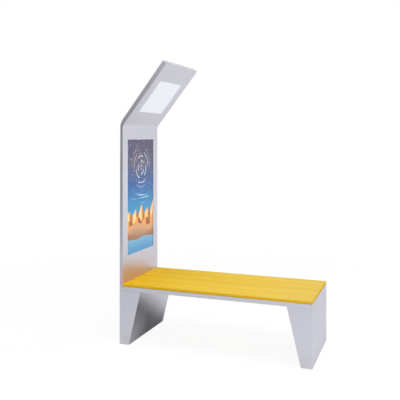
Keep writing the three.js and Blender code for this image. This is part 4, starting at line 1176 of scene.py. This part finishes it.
class BENCH_OT_poster(bpy.types.Operator):
    """The lit poster: pane, print, light guide, LED strips and their frame"""

    bl_idname = "bench.poster"
    bl_label = "Lit poster"
    bl_options = {"REGISTER", "UNDO"}

    def execute(self, context):
        rounded("light_box_frame", radius=0.0004)
        refinished("poster_glass", "poster_print", "light_guide", "light_box_back")
        refinished("led_strip_front", "led_strip_back")
        return {"FINISHED"}


class BENCH_OT_lamp(bpy.types.Operator):
    """The lamp under the canopy: housing, opal diffuser and LED board"""

    bl_idname = "bench.lamp"
    bl_label = "Lamp"
    bl_options = {"REGISTER", "UNDO"}

    def execute(self, context):
        rounded("lamp_housing", radius=0.0004)
        refinished("lamp_diffuser", "lamp_led_board")
        return {"FINISHED"}


class BENCH_OT_solar(bpy.types.Operator):
    """The solar module: frame, glass, cells and junction box"""

    bl_idname = "bench.solar"
    bl_label = "Solar module"
    bl_options = {"REGISTER", "UNDO"}

    def execute(self, context):
        rounded("solar_frame", radius=0.0005)
        rounded("solar_junction_box", radius=0.0015)
        refinished("solar_laminate")
        self.cells(context.scene.bench_sizes)
        self.ribbons(context.scene.bench_sizes)
        self.rim_screws()
        return {"FINISHED"}

    def cells(self, sizes):
        """Rows of silicon cells with clipped corners, laid out on a grid by a node tree."""
        half = (sizes.cell_width / 2, sizes.cell_length / 2)
        bm = bmesh.new()
        corners = []
        for sx, sy in ((1, 1), (-1, 1), (-1, -1), (1, -1)):
            beside = (sx * half[0], sy * (half[1] - CELL_CLIP))
            above = (sx * (half[0] - CELL_CLIP), sy * half[1])
            corners += [beside, above] if sx == sy else [above, beside]
        bm.faces.new([bm.verts.new((*spot, 0)) for spot in corners])
        solid = bmesh.ops.extrude_face_region(bm, geom=bm.faces[:])
        rise = [v for v in solid["geom"] if isinstance(v, bmesh.types.BMVert)]
        bmesh.ops.translate(bm, vec=(0, 0, CELL_THICKNESS), verts=rise)
        bmesh.ops.recalc_face_normals(bm, faces=bm.faces)
        cell = from_bmesh(bm, "cell")
        bpy.context.scene.collection.objects.link(cell)
        kinds = {"Rows": "Int", "Columns": "Int", "Row Pitch": "Float", "Column Pitch": "Float"}
        pitch = [2 * side + sizes.cell_gap for side in half]
        made = run_tree(
            bpy.data.objects.new("cell_carrier", bpy.data.meshes.new("cell_carrier")),
            instance_tree("Cell grid", kinds, cell_places),
            {"Instance": cell, "Rows": CELL_ROWS, "Columns": CELL_COLUMNS, "Row Pitch": pitch[0],
             "Column Pitch": pitch[1], "Material": finish_of("solar_cell")},
            "solar_cells",
        )
        made.data.transform(MODULE @ Matrix.Translation((0, 0, LAMINATE_TOP)))
        settle(made, "frame", "solar_cell")

    def ribbons(self, sizes):
        """Flat wires that join the cells of each column, and the strips that join the columns."""
        along = CELL_ROWS * (sizes.cell_width + sizes.cell_gap) / 2 + 0.002
        pitch = sizes.cell_length + sizes.cell_gap
        across = pitch * CELL_COLUMNS / 2 - 0.020
        low = LAMINATE_TOP + CELL_THICKNESS
        bm = bmesh.new()
        for column in range(CELL_COLUMNS):
            middle = pitch * (column - (CELL_COLUMNS - 1) / 2)
            for y in about(middle, sizes.cell_length / 4):
                slab(bm, (-along, along), about(y, 0.0008), (low, low + 0.0001))
        for x in about(0, along + 0.002):
            slab(bm, about(x, 0.002), (-across, across), (LAMINATE_TOP, LAMINATE_TOP + 0.0002))
        placed(bm, "cell_ribbons", MODULE, "cell_ribbon")

    def rim_screws(self):
        """Small screws that hold the module's rim on the canopy."""
        along, across = (half + MODULE_LAP / 2 for half in MODULE_HALF)
        inner_along, inner_across = (half / 3 for half in MODULE_HALF)
        spots = []
        for side in (-1, 1):
            spots += [(x, side * across) for x in (-along, -inner_along, inner_along, along)]
            spots += [(side * along, y) for y in (-inner_across, inner_across)]
        way = TOP.to_3x3() @ Vector((0, 0, 1))
        places = [(MODULE @ Vector((x, y, RIM_TOP)), way) for x, y in spots]
        screws("rim_screws", RIM_SCREW, places, seed=5)


class BENCH_OT_doors(bpy.types.Operator):
    """Service doors with their hinges and cam locks"""

    bl_idname = "bench.doors"
    bl_label = "Doors"
    bl_options = {"REGISTER", "UNDO"}

    def execute(self, context):
        for door in ("poster_door", "battery_door"):
            rounded(door, context.scene.bench_sizes.sheet_edge)
            for part in ("_hinge_frame_leaf", "_hinge_door_leaf", "_hinge_pin"):
                rounded(door + part, radius=0.0001)
        for lock in ("poster_door_lower", "poster_door_upper", "battery_door"):
            rounded(lock + "_lock_body", radius=0.0003)
            rounded(lock + "_lock_cam", radius=0.0002)
        return {"FINISHED"}


class BENCH_OT_battery_bay(bpy.types.Operator):
    """Battery, tray, strap, plate, controller and cables"""

    bl_idname = "bench.battery_bay"
    bl_label = "Battery bay"
    bl_options = {"REGISTER", "UNDO"}

    def execute(self, context):
        rounded("battery", radius=0.0020)
        rounded("battery_strap", radius=0.0004)
        rounded("charge_controller", radius=0.0006)
        refinished("battery_tray", "equipment_plate")
        for cable in ("solar_cable", "lamp_cable", "poster_light_cable", "battery_lead", "usb_cable"):
            rounded(cable, radius=0, sharp_angle=math.radians(60))
        self.terminal_boots()
        return {"FINISHED"}

    def terminal_boots(self):
        """A soft boot over each terminal and the end of its lead."""
        rings = ((0.0078, -0.0045), (0.0080, 0.001), (0.0072, 0.004), (0.0046, 0.009), (0.0040, 0.016))
        for pole, (y, slot) in TERMINALS.items():
            boot = turned_piece("terminal_boot_" + pole, [(*ring, 0) for ring in rings], 20)
            spot = (BATTERY_MIDDLE, y, BATTERY_TOP + TERMINAL_HEIGHT)
            boot.data.transform(BENCH @ Matrix.Translation(spot))
            settle(boot, "frame", slot)


class BENCH_OT_fasteners(bpy.types.Operator):
    """Screws of the back sheet, the light box and the equipment plate, and the floor anchors"""

    bl_idname = "bench.fasteners"
    bl_label = "Fasteners"
    bl_options = {"REGISTER", "UNDO"}

    def execute(self, context):
        self.sheet_screws(context.scene.bench_sizes.screw_pitch)
        self.anchors()
        self.box_screws()
        return {"FINISHED"}

    def sheet_screws(self, pitch):
        """Two rows up the back sheet and along the canopy, over the posts."""
        spots = []
        for surface, (start, end), out, up in (
            (LEAN, TOWER_SCREW_REACH, Vector((-1, 0, 0)), Vector((0, 0, 1))),
            (TOP, CANOPY_SCREW_REACH, Vector((0, 0, 1)), Vector((1, 0, 0))),
        ):
            count = round((end - start) / pitch)
            for i in range(count + 1):
                for y in (-POST_MIDDLE, POST_MIDDLE):
                    spot = up * (start + (end - start) * i / count) + Vector((0, y, 0))
                    spots.append((surface @ spot, surface.to_3x3() @ out))
        screws("sheet_screws", SHEET_SCREW, spots, seed=11)

    def anchors(self):
        """Nuts and washers on the studs that come up through the base plates."""
        spots = [
            (BENCH @ Vector((x, side * y, BASE_PLATE)), (0, 0, 1))
            for x in ANCHOR_COLUMNS for y in ANCHOR_ROWS for side in (-1, 1)
        ]
        nut = anchor_nut(flats=0.019, height=0.0125, stud=0.006, stud_end=0.026, below=BASE_PLATE)
        fastened("anchor_nuts", nut, spots, "galvanised_steel", seed=13)

    def box_screws(self):
        """Screws in the light box's frame from behind, and in the equipment plate's flange."""
        heights = [POSTER_MIDDLE + step * BOX_SCREW_PITCH for step in (-2, -1, 0, 1, 2)]
        spots = [
            (BENCH @ Vector((LIGHT_BOX_BACK, y, z)), (-1, 0, 0))
            for y in (-BOX_SCREW_SIDE, BOX_SCREW_SIDE) for z in heights
        ]
        spots += [(BENCH @ Vector((*spot, EQUIPMENT_FLANGE)), (0, 0, -1)) for spot in PLATE_SCREW_PLACES]
        screws("box_screws", BOX_SCREW, spots, seed=17)


class BENCH_OT_outlet(bpy.types.Operator):
    """USB outlet with its flap"""

    bl_idname = "bench.outlet"
    bl_label = "USB outlet"
    bl_options = {"REGISTER", "UNDO"}

    def execute(self, context):
        rounded("usb_outlet", radius=0.0004)
        rounded("usb_flap", radius=0.0005)
        self.sockets()
        self.plate_screws()
        return {"FINISHED"}

    def sockets(self):
        """A pressed shell, a tongue and four contacts in each of the two openings."""
        half_width, half_height, half_wall = 0.0060, 0.0023, 0.0002
        contact_pitch, half_contact, half_tongue = 0.0023, 0.0006, 0.0048
        shell_reach = (OUTLET_FACE - 0.0128, OUTLET_FACE - 0.0004)
        tongue_reach = (OUTLET_FACE - 0.0135, OUTLET_FACE - 0.0020)
        contact_reach = (OUTLET_FACE - 0.011, OUTLET_FACE - 0.0026)
        x = OUTLET_X
        shell, tongue, contacts = bmesh.new(), bmesh.new(), bmesh.new()
        for z in about(OUTLET_Z, PORT_RISE):
            for wall in about(x, half_width - half_wall):
                slab(shell, about(wall, half_wall), shell_reach, about(z, half_height))
            for wall in about(z, half_height - half_wall):
                slab(shell, about(x, half_width), shell_reach, about(wall, half_wall))
            slab(tongue, about(x, half_tongue), tongue_reach, (z + 0.0002, z + 0.0016))
            for i in range(4):
                spot = x + (i - 1.5) * contact_pitch
                slab(contacts, about(spot, half_contact), contact_reach, (z + 0.0001, z + 0.0003))
        placed(shell, "socket_shells", BENCH, "stainless_steel")
        placed(tongue, "socket_tongues", BENCH, "white_film")
        placed(contacts, "socket_contacts", BENCH, "contact_gold")

    def plate_screws(self):
        """A screw near each corner of the outlet."""
        spots = [
            (BENCH @ Vector((x, OUTLET_FACE, z)), (0, 1, 0))
            for x in about(OUTLET_X, OUTLET_SCREW_SIDE) for z in about(OUTLET_Z, OUTLET_SCREW_RISE)
        ]
        screws("outlet_screws", OUTLET_SCREW, spots, seed=7)


# Stage


def softbox(name, spot, aim, side, power):
    """A square area light at a spot, turned towards what it lights."""
    light = bpy.data.lights.new(name, "AREA")
    light.size = side
    light.energy = power
    obj = bpy.data.objects.new(name, light)
    obj.location = spot
    obj.rotation_euler = (Vector(aim) - Vector(spot)).to_track_quat("-Z", "Y").to_euler()
    bpy.context.scene.collection.objects.link(obj)


def stage_sheet(name, matrix, build, stage):
    """A flat sheet of the stage, two metres square before the matrix, with its own material."""
    bm = bmesh.new()
    bmesh.ops.create_grid(bm, x_segments=1, y_segments=1, size=1)
    bm.transform(matrix)
    obj = from_bmesh(bm, name)
    obj.data.materials.append(new_material(name, build, stage))
    bpy.context.scene.collection.objects.link(obj)
    return obj


def pale_floor(tree, shader, stage):
    """Plain white where the camera or the metal sees it, with a faint shadow near the bench."""
    path = wires(tree.nodes.new("ShaderNodeLightPath"))
    mirrored = maths("MAXIMUM", path["Is Glossy Ray"], path["Is Transmission Ray"])
    seen = maths("MAXIMUM", path["Is Camera Ray"], mirrored)
    spot = place_of(tree)
    cloud = spread(noise(spot, 0.8, 2), 0.2, 0.8, 0.0, 1.0)
    tint = mixed(cloud, stage.floor, tuple(x * 0.99 for x in stage.floor))
    plain = add(tree, "ShaderNodeBsdfDiffuse", {"Color": tint})
    away = add(tree, "ShaderNodeVectorMath", {0: spot}, "Value", operation="LENGTH")
    far = spread(away, 1.4, 4.5, smooth=True)
    near_shade = mixed(mirrored, (0.10, 0.10, 0.10), (0.16, 0.16, 0.16))
    shade = add(tree, "ShaderNodeBsdfDiffuse", {"Color": mixed(far, near_shade, (0, 0, 0))})
    plain_white = spread(away, 1.4, 4.5, 0.92, 1.0, smooth=True)
    in_metal = spread(away, 2.2, 6.0, 0.88, 1.17, smooth=True)
    strength = add(tree, "ShaderNodeMix", {0: mirrored, 2: plain_white, 3: in_metal})
    white = add(tree, "ShaderNodeEmission", {"Color": (1, 1, 1), "Strength": strength})
    show(seen, plain, add(tree, "ShaderNodeAddShader", {0: shade, 1: white}))
    tree.nodes.remove(shader)


def grey_card(tree, shader, stage):
    """Dark grey, paler at its upper end."""
    paler = spread(parts(place_of(tree))[2], 1.6, 2.4, smooth=True)
    drive(shader, {"Color": mixed(paler, (0.055, 0.055, 0.06), (0.85, 0.85, 0.86)), "Roughness": 0.9})


def stage_world():
    """A soft, plain sky for the light; white where the camera, metal or glass looks at it."""
    world = bpy.data.worlds.new("Studio")
    world.use_nodes = True
    bpy.context.scene.world = world
    tree = world.node_tree
    tree.nodes.clear()
    path = wires(tree.nodes.new("ShaderNodeLightPath"))
    seen = maths("MAXIMUM", path["Is Camera Ray"], path["Is Glossy Ray"])
    seen = maths("MAXIMUM", seen, path["Is Transmission Ray"])
    soft = add(tree, "ShaderNodeBackground", {"Color": (0.96, 0.98, 1.0), "Strength": 0.24})
    white = add(tree, "ShaderNodeBackground", {"Color": (1, 1, 1), "Strength": 1.0})
    either = add(tree, "ShaderNodeMixShader", {0: seen, 1: soft, 2: white})
    plug(either, tree.nodes.new("ShaderNodeOutputWorld").inputs["Surface"])
    arrange(tree)


def stage_camera(stage):
    """The photograph's camera: level, with its picture shifted."""
    camera = bpy.data.cameras.new("camera")
    camera.sensor_width = 36
    camera.lens = stage.lens
    camera.shift_y = stage.shift
    camera.clip_end = 200
    obj = bpy.data.objects.new("camera", camera)
    obj.location = stage.eye
    obj.rotation_euler = (math.radians(90), 0, stage.heading)
    bpy.context.scene.collection.objects.link(obj)
    bpy.context.scene.camera = obj
    bpy.context.scene.view_settings.view_transform = "Standard"


class BENCH_OT_stage(bpy.types.Operator):
    """Floor, soft light, white surroundings and the photograph's camera"""

    bl_idname = "bench.stage"
    bl_label = "Stage"
    bl_options = {"REGISTER", "UNDO"}

    def execute(self, context):
        stage = context.scene.bench_stage
        half = stage.floor_size / 2
        stage_sheet("stage_floor", Matrix.Diagonal((half, half, 1, 1)), pale_floor, stage)
        self.card(stage)
        stage_world()
        softbox("key", (4.4, -1.6, 3.0), aim=(0, 0, 0.9), side=2.6, power=38)
        softbox("front", (2.8, -5.2, 1.75), aim=(-0.2, 0, 0.95), side=2.4, power=47)
        softbox("top", (0.4, -0.8, 4.9), aim=(0, 0, 0.4), side=3.4, power=155)
        softbox("back", (2.6, 4.2, 4.6), aim=(0.5, 0, 0.4), side=2.4, power=60)
        stage_camera(stage)
        return {"FINISHED"}

    def card(self, stage):
        """A grey card out of view, which the front's paint mirrors above the floor's white."""
        turn = Matrix.Rotation(math.radians(-28), 4, "Z") @ Matrix.Rotation(math.radians(90), 4, "X")
        shape = Matrix.Translation((-3.2, -5.6, 1.75)) @ turn @ Matrix.Diagonal((3.0, 1.75, 1, 1))
        stage_sheet("stage_flag", shape, grey_card, stage).visible_camera = False


class BENCH_PT_panel(bpy.types.Panel):
    """Lists the steps that dress the bench"""

    bl_label = "Solar charging bench"
    bl_idname = "BENCH_PT_panel"
    bl_space_type = "VIEW_3D"
    bl_region_type = "UI"
    bl_category = "Bench"

    def draw(self, context):
        layout = self.layout
        for step in STEPS:
            layout.operator(step.bl_idname)
        for group_name in GROUPS:
            settings = getattr(context.scene, group_name)
            box = layout.box()
            for name in settings.__annotations__:
                box.prop(settings, name)


GROUPS = {
    "bench_finishes": BenchFinishes,
    "bench_sizes": BenchSizes,
    "bench_stage": BenchStage,
}
STEPS = (
    BENCH_OT_stage,
    BENCH_OT_sheet_steel,
    BENCH_OT_seat,
    BENCH_OT_mast,
    BENCH_OT_poster,
    BENCH_OT_lamp,
    BENCH_OT_solar,
    BENCH_OT_doors,
    BENCH_OT_battery_bay,
    BENCH_OT_outlet,
    BENCH_OT_fasteners,
)


def register():
    for name, settings in GROUPS.items():
        bpy.utils.register_class(settings)
        setattr(bpy.types.Scene, name, bpy.props.PointerProperty(type=settings))
    for kind in (*STEPS, BENCH_PT_panel):
        bpy.utils.register_class(kind)


def unregister():
    for kind in (BENCH_PT_panel, *reversed(STEPS)):
        bpy.utils.unregister_class(kind)
    for name, settings in GROUPS.items():
        delattr(bpy.types.Scene, name)
        bpy.utils.unregister_class(settings)


def main():
    register()
    for step in STEPS:
        category, name = step.bl_idname.split(".")
        getattr(getattr(bpy.ops, category), name)()


if __name__ == "__main__":
    main()
